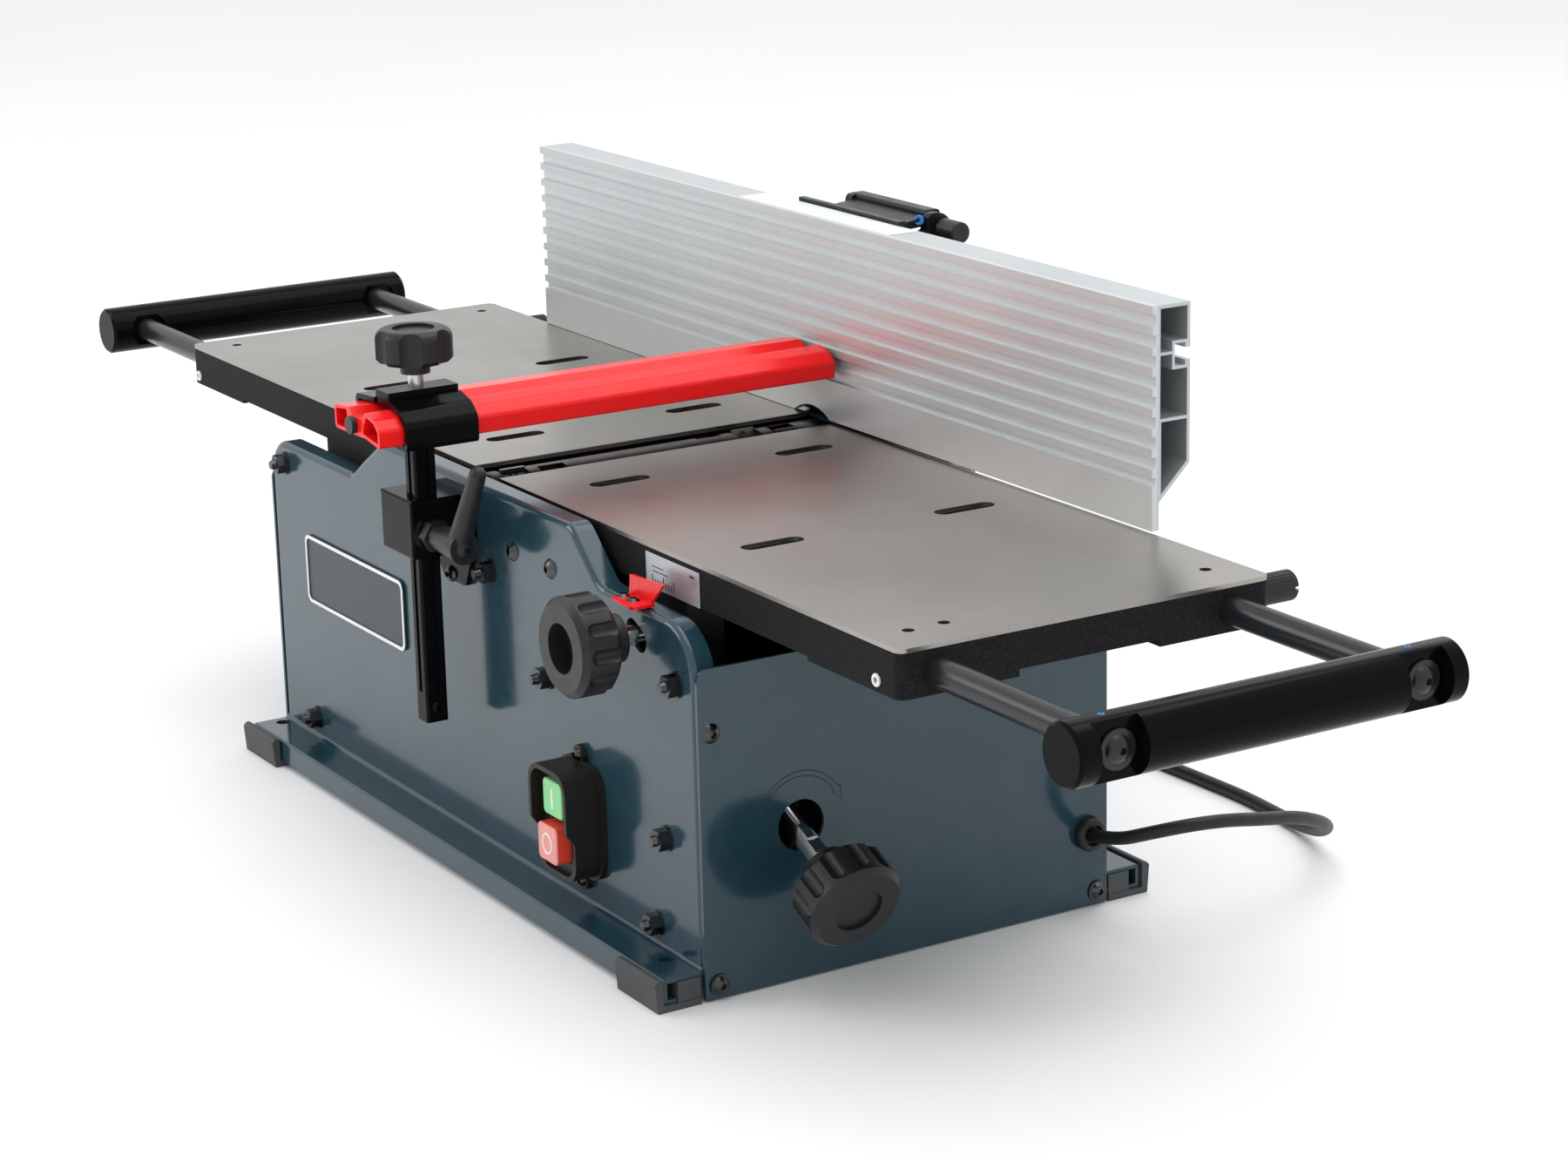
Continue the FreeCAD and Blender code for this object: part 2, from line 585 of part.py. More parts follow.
def motor_rotor():
    shaft = cyl((MOTOR_X, 12.5, MOTOR_Z), Y, 6.0, 223)
    core = cyl((MOTOR_X, 45, MOTOR_Z), Y, 34.0, 110)
    hub = cyl((MOTOR_X, 22, MOTOR_Z), Y, 12.0, 12)
    blades = []
    for k in range(9):
        blade = box(-1, 22, 10, 1, 34, 42)
        blade.rotate(V(0, 0, 0), Y, 40 * k)
        blade.translate(V(MOTOR_X, 0, MOTOR_Z))
        blades.append(blade)
    return union([shaft, core, hub] + blades)


# ---- chip chute -----------------------------------------------------------------------
def chip_chute():
    """Hopper under the cutterhead, emptying through a round outlet in the rear panel."""
    wall = 2.0
    shell = [(-46, 103, 0), (32, 103, 0), (94, 72, 6), (94, 26, 6), (34, 26, 6)]
    body = prism_y(shell, 12, 206)
    hollow = [(-43, 104, 0), (31, 104, 0), (92, 71, 4), (92, 28, 4), (35, 28, 4)]
    body = body.cut(prism_y(hollow, 12 + wall, 206 - wall))
    port = cyl((PORT_X, 205, PORT_Z), Y, PORT_R, 58)
    bore = cyl((PORT_X, 200, PORT_Z), Y, PORT_BORE, 70)
    collar = cyl((PORT_X, REAR_Y + 0.1, PORT_Z), Y, PORT_R + 3.0, 2.0)
    return union([body, port, collar]).cut(bore)


# ---- infeed carriage and height screw -------------------------------------------------
def infeed_carriage():
    parts = []
    under = INFEED_TOP - TABLE_THICK
    for y0, y1 in RAIL_YS:
        cheek = [(60, under, 0), (200, under, 0), (200, way_z(200) + RUN, 0),
                 (60, way_z(60) + RUN, 0)]
        parts.append(prism_y(cheek, y0, y1))
    parts.append(box(118, 20, 128, 134, 186, under))
    parts.append(box(118, 26, 108, 134, 66, 130))
    body = union(parts)
    body = body.cut(box(110, 66, 100, 140, 172, 170))
    at = screw_axis_point(-150)
    body = body.cut(Part.makeCylinder(10.0, 45, at, SCREW_DIR))
    lock = cyl((186.3, 4, 171.8), Y, 5.0 + RUN, 22)
    return body.cut(lock)


def feed_nut():
    at = screw_axis_point(-140)
    nut = Part.makeCylinder(10.0, 20, at, SCREW_DIR)
    return nut.cut(Part.makeCylinder(5.0 + RUN, 30, at - SCREW_DIR * 5, SCREW_DIR))


def feed_screw():
    thread = Part.makeCylinder(5.0, 108, screw_axis_point(-158), SCREW_DIR)
    rod = Part.makeCylinder(6.0, 82, screw_axis_point(-50), SCREW_DIR)
    flats = []
    for side in (-1, 1):
        f = box(-5, -9, 4.9, 5, 9, 8) if side > 0 else box(-5, -9, -8, 5, 9, -4.9)
        f.rotate(V(0, 0, 0), Y, math.degrees(RAMP))
        f.translate(screw_axis_point(14))
        flats.append(f)
    rod = rod.cut(Part.makeCompound(flats))
    inner = Part.makeCylinder(9.0, 4, screw_axis_point(-57), SCREW_DIR)
    outer = Part.makeCylinder(9.0, 4, screw_axis_point(-22.4), SCREW_DIR)
    ring = Part.makeCylinder(7.4, 3, screw_axis_point(20.5), SCREW_DIR)
    return union([thread, rod, inner, outer, ring])


def lock_stud():
    thread = cyl((186.3, -34, 171.8), Y, 5.0, 56)
    collar = cyl((186.3, -26, 171.8), Y, 6.2, 2)
    return union([thread, collar])


# ---- guard ----------------------------------------------------------------------------
BLOCK = (-30.5, -47.8, 173.5, 5.9, FRONT_Y, 204.8)
POST_X, POST_Y, POST_HALF = -3.0, -36.8, 6.25
POST_BOTTOM, SLEEVE_FLOOR = 83.0, 236.6
ARM_CORNERS = [(-29, 241.5, 2.5), (-29, 254.0, 2.5), (-11.5, 255.6, 1), (-6, 251.5, 1),
               (3, 251.5, 1), (8, 256.0, 2), (18.5, 253.8, 6), (24.2, 249.0, 3),
               (24.2, 239.6, 1.2), (8, 242.2, 4)]


def guard_arm():
    """Hollow red extrusion: two tubes side by side with a clamping groove between them."""
    body = prism_y(ARM_CORNERS, ARM_Y0, ARM_Y1)
    left = [(-27.2, 243.3, 1.5), (-27.2, 252.4, 1.5), (-14.0, 253.8, 1), (-14.0, 243.6, 1)]
    right = [(4.5, 244.3, 1), (6.5, 249.6, 1), (9, 253.8, 1), (17.6, 252.0, 3),
             (22.3, 248.0, 2), (22.3, 242.0, 1)]
    body = body.cut(prism_y(left, ARM_Y0 - 1, ARM_Y1 + 1))
    body = body.cut(prism_y(right, ARM_Y0 - 1, ARM_Y1 + 1))
    return body.cut(cyl((-6.0, ARM_Y0 - 1, 247.2), Y, 3.2, 15))


def guard_plug():
    """Round plastic plug in the front end of the arm."""
    head = cyl((-6.0, ARM_Y0, 247.2), V(0, -1, 0), 4.6, PLUG_HEAD)
    stem = cyl((-6.0, ARM_Y0 - 0.5, 247.2), Y, 3.2, 12.5)
    return union([head, stem])


def guard_sleeve():
    """Black C-section that carries the arm, open along the top for the clamp bar."""
    y0, y1 = -58.0, -17.0
    outer = prism_y([(-32.2, SLEEVE_FLOOR, 3), (-32.2, 257.6, 4), (8, 260.4, 6), (20, 257.2, 9),
                     (27.6, 251, 6), (27.6, SLEEVE_FLOOR, 3)], y0, y1)
    inner = prism_y([(-29.6, 239.2, 0.5), (-29.6, 255.0, 2), (8, 257.4, 3), (19, 254.5, 7),
                     (24.8, 249.5, 4), (24.8, 239.2, 0.5)], y0 - 1, y1 + 1)
    body = outer.cut(inner)
    return body.cut(box(-9.4, y0 - 1, 250, 6.4, y1 + 1, 265))


def guard_clamp_bar():
    """Channel that bridges the sleeve's lips; the clamp knob's stud screws through it."""
    y0, y1 = -57.0, -17.2
    top = box(-9.0, y0, 258.6, 6.0, y1, 263.5)
    stem = box(-8.6, y0, 256.9, 5.6, y1, 258.8)
    foot_bar = prism_y([(-9.2, 256.2, 0), (6.2, 256.2, 0), (6.2, 258.6, 0), (-9.2, 258.6, 0)], y0, y1)
    body = union([top, stem, foot_bar])
    return body.cut(cyl((POST_X, POST_Y, 250), Z, 4.0 + RUN, 20))


def guard_knob_stud():
    stud = cyl((POST_X, POST_Y, 252.4), Z, 4.0, 28)
    return bevel_edges(stud, 0.8, lambda e: flat_at(e, "Z", 252.4))


def guard_post():
    """Square post with a groove in each side, bolted under the sleeve."""
    h = POST_HALF
    body = prism_z(rect(POST_X - h, POST_Y - h, POST_X + h, POST_Y + h, 1.6),
                   POST_BOTTOM, SLEEVE_FLOOR)
    for dx, dy in ((1, 0), (-1, 0), (0, 1), (0, -1)):
        cx, cy = POST_X + dx * h, POST_Y + dy * h
        wx, wy = (1.2, 1.6) if dx else (1.6, 1.2)
        body = body.cut(box(cx - wx, cy - wy, POST_BOTTOM + 16, cx + wx, cy + wy, SLEEVE_FLOOR - 4))
    stop = button_head((POST_X + h, POST_Y, POST_BOTTOM + 8), X, 3.0, 1.8)
    return body.fuse(stop)


def guard_block():
    """Clamp block for the post, with the plate that bolts it to the front panel."""
    x0, y0, z0, x1, y1, z1 = BLOCK
    body = box(x0, y0, z0, x1, y1 - 0.1, z1)
    body = round_edges(body, 1.2, lambda e: flat_at(e, "Y", y0))
    plate = prism_y([(x0, z1, 0), (17, z1, 3), (19.5, 178.5, 3), (8.2, 155.5, 2),
                     (-16, 155.5, 3), (x0, z0, 0)], y1 - 3.2, y1 - 0.1)
    body = union([body, plate])
    h = POST_HALF + RUN
    hole = box(POST_X - h, POST_Y - h, z0 - 1, POST_X + h, POST_Y + h, z1 + 1)
    body = body.cut(hole)
    body = body.fuse(cone((x1, POST_Y, 186.5), X, 10.0, 8.5, 2.5))
    return body.cut(cyl((POST_X + 3, POST_Y, 186.5), X, 4.0 + RUN, 20))


def guard_lever():
    """Ratchet lever: hub, hex collar, raised arm and end screw."""
    x1, z = BLOCK[3] + 2.8, 186.5
    stud = cyl((POST_X + POST_HALF + 0.3, POST_Y, z), X, 4.0, 12)
    collar = hexagon((x1, POST_Y, z), X, 15.0, 6.5)
    hub = cone((x1 + 6.5, POST_Y, z), X, 6.5, 8.4, 24.0)
    hub = hub.fuse(cyl((x1 + 30.5, POST_Y, z), X, 8.4, 6.0))
    lean = math.atan2(28.0, 46.0)
    arm_dir = V(math.sin(lean), 0, math.cos(lean))
    root = V(x1 + 29.0, POST_Y, z)
    arm = cone(root, arm_dir, 6.6, 4.4, 50.0)
    tip = Part.makeSphere(4.4, root + arm_dir * 50.0)
    screw = button_head((x1 + 36.5, POST_Y, z), X, 4.6, 2.4)
    return union([stud, collar, hub, arm, tip, screw])


# ---- fence ----------------------------------------------------------------------------
RIB_STEP, RIB_COUNT, RIB_DEPTH = 10.0, 9, 2.2
RIB_HEIGHT = 4.2


def fence():
    """Aluminium extrusion with a ribbed face, hollow back and tapered lower blade."""
    y, b = FENCE_Y, FENCE_BACK
    base = y + RIB_DEPTH
    section = [(y, FENCE_BOTTOM), (y, 236.0), (base, 236.0)]
    for k in range(RIB_COUNT - 1, -1, -1):
        top = FENCE_TOP - RIB_STEP * k
        section += [(base, top - RIB_HEIGHT), (y, top - RIB_HEIGHT), (y, top)]
        if k:
            section.append((base, top))
    section += [(b, FENCE_TOP, 0), (b, 244.9), (208.4, 227.4), (208.4, FENCE_BOTTOM)]
    body = prism_x(section, FENCE_X0, FENCE_X1)
    front, back, slot = 209.0, 225.0, 216.0
    hollows = [[(front, 301.0), (slot, 301.0), (slot, 306.0), (back, 306.0), (back, 322.4),
                (front, 322.4)],
               [(front, 268.6), (back, 268.6), (back, 292.0), (slot, 292.0), (slot, 299.6),
                (front, 299.6)],
               [(front + 0.6, 231.2), (back, 246.0), (back, 267.0), (front + 0.6, 267.0)]]
    for h in hollows:
        body = body.cut(prism_x(h, FENCE_X0 - 1, FENCE_X1 + 1))
    body = body.cut(box(FENCE_X0 - 1, 217.5, 293.5, FENCE_X1 + 1, 223.8, 304.5))
    body = body.cut(box(FENCE_X0 - 1, 223.0, 296.0, FENCE_X1 + 1, 228.0, 302.0))
    return body.cut(cyl((-6.0, FENCE_Y - 1, 185.0), Y, 34.0, 8))


CHEEK_X, BOLT_XS = 42.0, (-20.0, 20.0)
PLUNGER_Y, PLUNGER_Z, PLUNGER_R = 259.0, 318.3, 3.0


def fence_bracket():
    """Casting on the fence's back: face plate, two cheeks, sloping web and top ridge."""
    front, back = FENCE_BACK + 0.1, 231.4
    plate = box(-46.0, front, 240.0, 46.0, back, 296.0)
    upper = prism_x([(front, 290.0, 0), (back, 290.0, 0), (back, 326.4, 0.8), (front, 326.4, 0)],
                    -52.0, 50.0)
    web = prism_x([(229.0, 318.0, 0), (229.0, 322.0, 0), (254.5, 324.6, 0), (254.5, 320.0, 0)],
                  -36.0, 38.0)
    ridge = prism_x(rect(254.0, 317.0, 264.0, 327.4, 2.0), -CHEEK_X + 1, 34.0)
    cheek = [(229, 250, 2), (239, 252, 4), (266, 300, 10), (266, 327.0, 9), (252, 327.0, 3),
             (250, 318, 2), (229, 312, 2)]
    parts = [plate, upper, web, ridge]
    for x in (-CHEEK_X, CHEEK_X - 6):
        parts.append(prism_x(cheek, x, x + 6))
    for x in (-30.0, 24.0):
        ear = cyl((x, PIVOT_Y, PIVOT_Z), X, 7.0, 6.0)
        tail = prism_x([(PIVOT_Y + 2, PIVOT_Z - 5.0), (231.4, 232.0), (231.4, 250.0),
                        (228.2, 250.0), (228.2, 244.4), (PIVOT_Y - 1, 232.0 - 3.4)], x, x + 6.0)
        parts += [ear, tail]
    body = union(parts)
    body = body.cut(cyl((-60, PIVOT_Y, PIVOT_Z), X, 4.0 + RUN, 120))
    body = body.cut(cyl((CHEEK_X - 8, PLUNGER_Y, PLUNGER_Z), X, PLUNGER_R + RUN, 12))
    for x in BOLT_XS:
        body = body.cut(cyl((x, FENCE_BACK - 1, 299.0), Y, 3.1, 8))
    return body


def fence_bolts():
    """T-bolts with nuts that hold the bracket to the fence's slot."""
    out = []
    for x in BOLT_XS:
        head = box(x - 5.0, 218.0, 294.0, x + 5.0, 222.6, 304.0)
        shank = cyl((x, 222.0, 299.0), Y, 2.9, 17.0)
        nut = hexagon((x, 231.5, 299.0), Y, 10.0, 5.0)
        out.append(union([head, shank, nut]))
    return Part.makeCompound(out)


BASE_TOP = 214.6
LEVER_Y, FENCE_TRAVEL = 260.0, 75.0      # clamp stud of the fence slide, and its travel


def fence_carriage():
    """Slide plate with the pivot lugs; it moves forwards over the tables."""
    plate = prism_z([(-34, 226, 3), (34, 226, 3), (34, CARRIAGE_REAR, 8), (-34, CARRIAGE_REAR, 8)],
                    BASE_TOP + 0.1, BASE_TOP + 8.0)
    nose = prism_z(rect(-38, 219.0, 38, 230, 2), BASE_TOP + 0.1, BASE_TOP + 5.0)
    parts = [plate, nose]
    for x in (-38.0, -23.6, 17.4, 30.4):
        width = 7.6 if x in (-38.0, 30.4) else 6.2
        lug = cyl((x, PIVOT_Y, PIVOT_Z), X, 6.8, width)
        link = prism_x([(PIVOT_Y - 2, BASE_TOP + 0.6), (230, BASE_TOP + 0.6), (230, BASE_TOP + 8),
                        (PIVOT_Y + 2, BASE_TOP + 12)], x, x + width)
        parts += [lug, link]
    body = union(parts)
    for x in (-30.4, 23.6):
        body = body.cut(box(x, 205, BASE_TOP - 1, x + 6.8, 246, BASE_TOP + 12))
    body = body.cut(cyl((-60, PIVOT_Y, PIVOT_Z), X, 4.0 + RUN, 120))
    slot = rect(-4.3, LEVER_Y - 5.0, 4.3, LEVER_Y + FENCE_TRAVEL + 5.0, 4.2)
    return body.cut(prism_z(slot, BASE_TOP - 1, BASE_TOP + 10))


def fence_base():
    """Bridge over the belt cover, bolted to the rear panel, that the fence slides on."""
    top = box(-78, REAR_Y + 0.1, BASE_TOP - 4.6, 78, 275, BASE_TOP)
    guide = []
    for x in (-44.0, 34.4):
        guide.append(box(x, REAR_Y + 8, BASE_TOP, x + 9.6, 275, BASE_TOP + 7.0))
    legs = []
    for x in (-78.0, 70.0):
        leg = [(REAR_Y + 0.1, BASE_TOP - 1, 0), (275, BASE_TOP - 1, 0), (275, 204, 3),
               (REAR_Y + 14, 176, 8), (REAR_Y + 0.1, 176, 0)]
        legs.append(prism_x(leg, x, x + 8))
    body = union([top] + guide + legs)
    return body.cut(cyl((0, LEVER_Y, BASE_TOP - 10), Z, 4.0 + RUN, 20))


def slide_lever():
    """Handle that clamps the fence slide to its base."""
    top = BASE_TOP + 8.2
    stud = cyl((0, LEVER_Y, BASE_TOP - 4.4), Z, 4.0, 14)
    hub = cone((0, LEVER_Y, top), Z, 9.5, 7.5, 10)
    arm_dir = V(-0.30, 0.90, 0.30).normalize()
    root = V(0, LEVER_Y, top + 6.0)
    arm = cone(root, arm_dir, 5.6, 4.2, 52.0)
    return union([stud, hub, arm, Part.makeSphere(4.2, root + arm_dir * 52.0)])


def tilt_knob():
    """Pivot pin of the fence with the knurled nut that locks the tilt."""
    pin = cyl((-40, PIVOT_Y, PIVOT_Z), X, 4.0, 82)
    knob = cyl((-62.0, PIVOT_Y, PIVOT_Z), X, 7.0, 20.0)
    knob = bevel_edges(knob, 0.8, lambda e: e.isClosed())
    cuts = []
    for k in range(18):
        t = 2 * math.pi * k / 18
        cuts.append(cyl((-61, PIVOT_Y + 7.4 * math.cos(t), PIVOT_Z + 7.4 * math.sin(t)), X, 0.8, 14))
    collar = cyl((-42.2, PIVOT_Y, PIVOT_Z), X, 6.2, 3.9)
    cap = cyl((38.3, PIVOT_Y, PIVOT_Z), X, 6.2, 4.2)
    return union([knob.cut(Part.makeCompound(cuts)), pin, collar, cap])


def index_plunger():
    """Spring plunger that stops the fence square to the tables."""
    knob = cyl((CHEEK_X + 3.0, PLUNGER_Y, PLUNGER_Z), X, 6.0, 17.0)
    knob = round_edges(knob, 1.2, lambda e: e.isClosed())
    pin = cyl((CHEEK_X - 5.5, PLUNGER_Y, PLUNGER_Z), X, PLUNGER_R, 9.5)
    return union([knob, pin])


# ---- switch, labels and small parts ---------------------------------------------------
SWITCH_X = 126.8
SWITCH_SCREW_ZS = (95.2, 28.2)
WELL_Y = -30.5


def switch_body():
    """Hooded twin push-button switch on an oval flange."""
    flange = prism_y(rect(104.0, 31.0, 149.5, 92.5, 14.0), FRONT_Y - 3.0, FRONT_Y - 0.1)
    tabs = [cyl((SWITCH_X, FRONT_Y - 3.0, z), Y, 5.0, 2.9) for z in SWITCH_SCREW_ZS]
    hood = prism_y(rect(107.0, 33.0, 146.7, 91.5, 11.0), -38.0, FRONT_Y - 2.0)
    lower = prism_x([(-45, 20), (-45, 62), (-38.6, 62), (-33.4, 55), (-33.4, 20)], 100, 155)
    hood = hood.cut(lower)
    hood = hood.cut(prism_y(rect(109.6, 35.6, 144.1, 88.9, 9.0), -45, WELL_Y))
    green = prism_y(rect(116.4, 64.6, 137.2, 84.6, 3.0), -60, 0)
    red = prism_y(rect(116.4, 41.4, 137.2, 62.0, 3.0), -60, 0)
    back = box(114.5, FRONT_Y - 1, 40, 139.5, FRONT_Y + 20, 85)
    body = union([flange, hood, back] + tabs)
    return body.cut(green).cut(red)


def push_button(z0, z1, y0):
    body = prism_y(rect(116.9, z0, 136.7, z1, 3.0), y0, FRONT_Y + 10)
    return round_edges(body, 1.0, lambda e: flat_at(e, "Y", y0))


def badge():
    """Blank name plate with a raised rim."""
    plate = prism_y(rect(-202, 98.5, -74, 138.5, 5.0), FRONT_Y - 1.8, FRONT_Y - 0.1)
    well = prism_y(rect(-200, 100.5, -76, 136.5, 3.4), FRONT_Y - 3, FRONT_Y - 1.0)
    return plate.cut(well)


POINTER_Z, POINTER_SHEET = 187.0, 1.5


def pointer_bracket():
    """Bent red pointer beside the depth scale."""
    z = POINTER_Z
    foot_plate = prism_z([(172, -10.5, 0), (172, -20, 2), (175, -22.5, 3), (196, -23, 3),
                          (196, -10.5, 0)], z, z + POINTER_SHEET)
    upright = prism_y([(173, z, 0), (193, z, 0), (207, 200.2, 0), (174.4, 198.6, 0)],
                      -10.5 - POINTER_SHEET, -10.5)
    return union([foot_plate, upright])


def panel_fasteners():
    """Nuts and screws that show on the housing."""
    out = []
    for x, z in ((-228.2, 174.4), (224.4, 156.0), (210.3, 74.5), (198.7, 27.3), (-202.8, 27.3)):
        out.append(flange_nut((x, FRONT_Y - 0.1, z), V(0, -1, 0)))
    for x, z, stud in ((31.7, 168.4, 4.0), (92.0, 126.5, 4.0)):
        out.append(flange_nut((x, FRONT_Y - 0.1, z), V(0, -1, 0), stud))
    for x, z in ((58.7, 185.1), (99.7, 185.0)):
        out.append(button_head((x, FRONT_Y - 0.1, z), V(0, -1, 0)))
    for x, z in ((11.5, 199.0), (-7.7, 158.9)):
        out.append(button_head((x, FRONT_Y - 3.3, z), V(0, -1, 0), 4.6, 3.2))
    for x in (174.8, 184.6):
        out.append(button_head((x, -16.2, POINTER_Z + POINTER_SHEET + 0.05), Z, 3.6, 1.6))
    for z in SWITCH_SCREW_ZS:
        out.append(button_head((SWITCH_X, FRONT_Y - 3.1, z), V(0, -1, 0), 3.2, 2.8))
    out.append(button_head((RIGHT_X, -9.4, 135.6), X, 5.0, 2.8))
    for y in (-8.5, 216.0):
        out.append(button_head((RIGHT_X, y, 8.0), X, 4.4, 2.6, 5.6))
        out.append(button_head((LEFT_X, y, 8.0), X * -1, 4.4, 2.6, 5.6))
    for x, z in ((-228.2, 174.4), (224.4, 156.0), (198.7, 27.3), (-202.8, 27.3)):
        out.append(flange_nut((x, REAR_Y + 0.1, z), V(0, 1, 0)))
    return Part.makeCompound(out)


# ---- mains cord -----------------------------------------------------------------------
CORD_ROUTE = [(250, 210.3, 40.5), (268, 210.3, 40.5), (286, 216, 44), (300, 230, 50),
              (306, 250, 53), (305, 274, 52.5), (300, 300, 47), (290, 324, 37), (274, 344, 25),
              (251, 358, 13), (226, 368, 5.4), (197, 373, 3.6), (166, 376, 3.6),
              (134, 375.5, 3.6), (102, 374.4, 3.6), (72, 372.9, 3.6), (46, 372.4, 3.6),
              (31.5, 371.3, 3.6)]
COIL_X, COIL_Y, COIL_R, COIL_BORE, COIL_H = 5.0, 336.0, 44.0, 26.0, 24.0
PLUG_END = (-48.0, 365.8, 12.5)          # where the cord enters the plug's tail
PLUG_TURN = 199.6                        # heading of the plug, degrees from +X


def cord_tube():
    """Tube along straight runs joined by tangent arcs."""
    pts = [V(*p) for p in CORD_ROUTE]
    edges, radii, start, length = [], [], pts[0], 0.0
    for i in range(1, len(pts) - 1):
        a, b = pts[i - 1] - pts[i], pts[i + 1] - pts[i]
        turn = math.pi - a.getAngle(b)
        back = 0.45 * min(a.Length, b.Length)
        radius = back / math.tan(turn / 2)
        a.normalize()
        b.normalize()
        mid_dir = (a + b).normalize()
        centre = pts[i] + mid_dir * (radius / math.cos(turn / 2))
        p0, p1 = pts[i] + a * back, pts[i] + b * back
        edges.append(Part.LineSegment(start, p0).toShape())
        edges.append(Part.Arc(p0, centre - mid_dir * radius, p1).toShape())
        length += edges[-1].Length + edges[-2].Length
        radii.append(round(radius, 1))
        start = p1
    edges.append(Part.LineSegment(start, pts[-1]).toShape())
    length += edges[-1].Length
    path = Part.Wire(edges)
    ring = Part.Wire([Part.Circle(pts[0], pts[1] - pts[0], CORD_R).toShape()])
    tube = path.makePipeShell([ring], True, True)
    print("cord arc radii", radii, "length", round(length, 1))
    print("cord volume", round(tube.Volume, 1), "of", round(math.pi * CORD_R ** 2 * length, 1))
    return tube


def cord_coil():
    body = cyl((COIL_X, COIL_Y, 0.1), Z, COIL_R, COIL_H - 0.1)
    return body.cut(cyl((COIL_X, COIL_Y, -1), Z, COIL_BORE, COIL_H + 2))


def cord_gland():
    """Ring grommet round the cord in the end panel."""
    start = (RIGHT_X - 6, GLAND_Y, GLAND_Z)
    ring = cyl((RIGHT_X + 0.1, GLAND_Y, GLAND_Z), X, 9.0, GLAND_LEN - 0.1)
    ring = round_edges(ring, 2.6, lambda e: flat_at(e, "X", RIGHT_X + GLAND_LEN))
    inner = cyl(start, X, 5.8, 7)
    recess = cyl((RIGHT_X + 2.5, GLAND_Y, GLAND_Z), X, 5.6, 6)
    lead = cyl((RIGHT_X, GLAND_Y, GLAND_Z), X, CORD_R, GLAND_LEN)
    return union([union([ring, inner]).cut(recess), lead])


def power_plug():
    """Two-pin plug lying on the floor beside the coil, made along +X and turned."""
    tail = cone((0, 0, 0), X, 4.5, 6.5, 17)
    body = prism_z([(16, -10, 4), (16, 10, 4), (34, 18, 8), (54, 15, 5), (54, -15, 5), (34, -18, 8)],
                   -12.0, 12.0)
    body = round_edges(body, 3.0, lambda e: flat_at(e, "Z", 12.0))
    pins = [cyl((53, y, 0), X, 2.4, 19) for y in (-9.5, 9.5)]
    plug = union([body, tail] + pins)
    plug.rotate(V(0, 0, 0), Z, PLUG_TURN)
    plug.translate(V(*PLUG_END))
    return plug


# ---- assembly -------------------------------------------------------------------------
def build():
    n = NODES
    n["front_panel"] = front_panel()
    n["rear_panel"] = rear_panel()
    n["infeed_end_panel"] = end_panel(True)
    n["outfeed_end_panel"] = end_panel(False)
    feet = [foot(x0, x1, front) for front in (True, False) for x0, x1 in FEET]
    n["corner_feet"] = Part.makeCompound(feet)
    n["main_casting"] = main_casting()
    n["outfeed_table"] = table(False)
    n["infeed_table"] = table(True)
    n["infeed_thumbscrew"] = thumbscrew(THUMB_X)
    n["outfeed_thumbscrew"] = thumbscrew(-THUMB_X)
    for name, infeed in (("infeed", True), ("outfeed", False)):
        n[name + "_bar"] = support_bar(infeed)
        n[name + "_rods"] = support_rods(infeed)
        n[name + "_bar_screws"] = bar_screws(infeed)
    n["head_bearings"] = Part.makeCompound([bearing(-13.0), bearing(209.0)])
    n["cutterhead"] = cutterhead()
    n["cutter_inserts"] = cutter_inserts()
    n["head_pulley"] = pulley(0, CUT_Z, HEAD_PULLEY_R, JOURNAL_R)
    n["motor_pulley"] = pulley(MOTOR_X, MOTOR_Z, MOTOR_PULLEY_R, 6.0)
    n["drive_belt"] = drive_belt()
    n["belt_cover"] = belt_cover()
    n["motor_housing"] = Part.makeCompound([motor_body()] + motor_end_caps())
    n["motor_rotor"] = motor_rotor()
    n["chip_chute"] = chip_chute()
    n["infeed_carriage"] = infeed_carriage()
    n["feed_nut"] = feed_nut()
    n["feed_screw"] = feed_screw()
    n["height_knob"] = fluted_knob(screw_axis_point(23.6), SCREW_DIR, 25.0, 33.0,
                                   (6.0, 9.0), recess=2.0)
    n["lock_stud"] = lock_stud()
    n["lock_knob"] = fluted_knob((186.3, -26.2, 171.8), V(0, -1, 0), 25.0, 31.3, (5.0, 8.0))
    n["guard_arm"] = guard_arm()
    n["guard_plug"] = guard_plug()
    n["guard_sleeve"] = guard_sleeve()
    n["guard_clamp_bar"] = guard_clamp_bar()
    n["guard_knob"] = star_knob((POST_X, POST_Y, 270.5), 20.0, 17.5, (4.0, 11.0))
    n["guard_knob_stud"] = guard_knob_stud()
    n["guard_post"] = guard_post()
    n["guard_block"] = guard_block()
    n["guard_lever"] = guard_lever()
    n["fence"] = fence()
    n["fence_bracket"] = fence_bracket()
    n["fence_bolts"] = fence_bolts()
    n["fence_carriage"] = fence_carriage()
    n["fence_base"] = fence_base()
    n["slide_lever"] = slide_lever()
    n["tilt_knob"] = tilt_knob()
    n["index_plunger"] = index_plunger()
    n["switch_body"] = switch_body()
    n["green_button"] = push_button(65.1, 84.1, -35.0)
    n["red_button"] = push_button(41.9, 61.5, -38.8)
    n["badge"] = badge()
    n["pointer_bracket"] = pointer_bracket()
    n["panel_fasteners"] = panel_fasteners()
    n["cord_gland"] = cord_gland()
    n["power_cord"] = cord_tube()
    n["cord_coil"] = cord_coil()
    n["power_plug"] = power_plug()


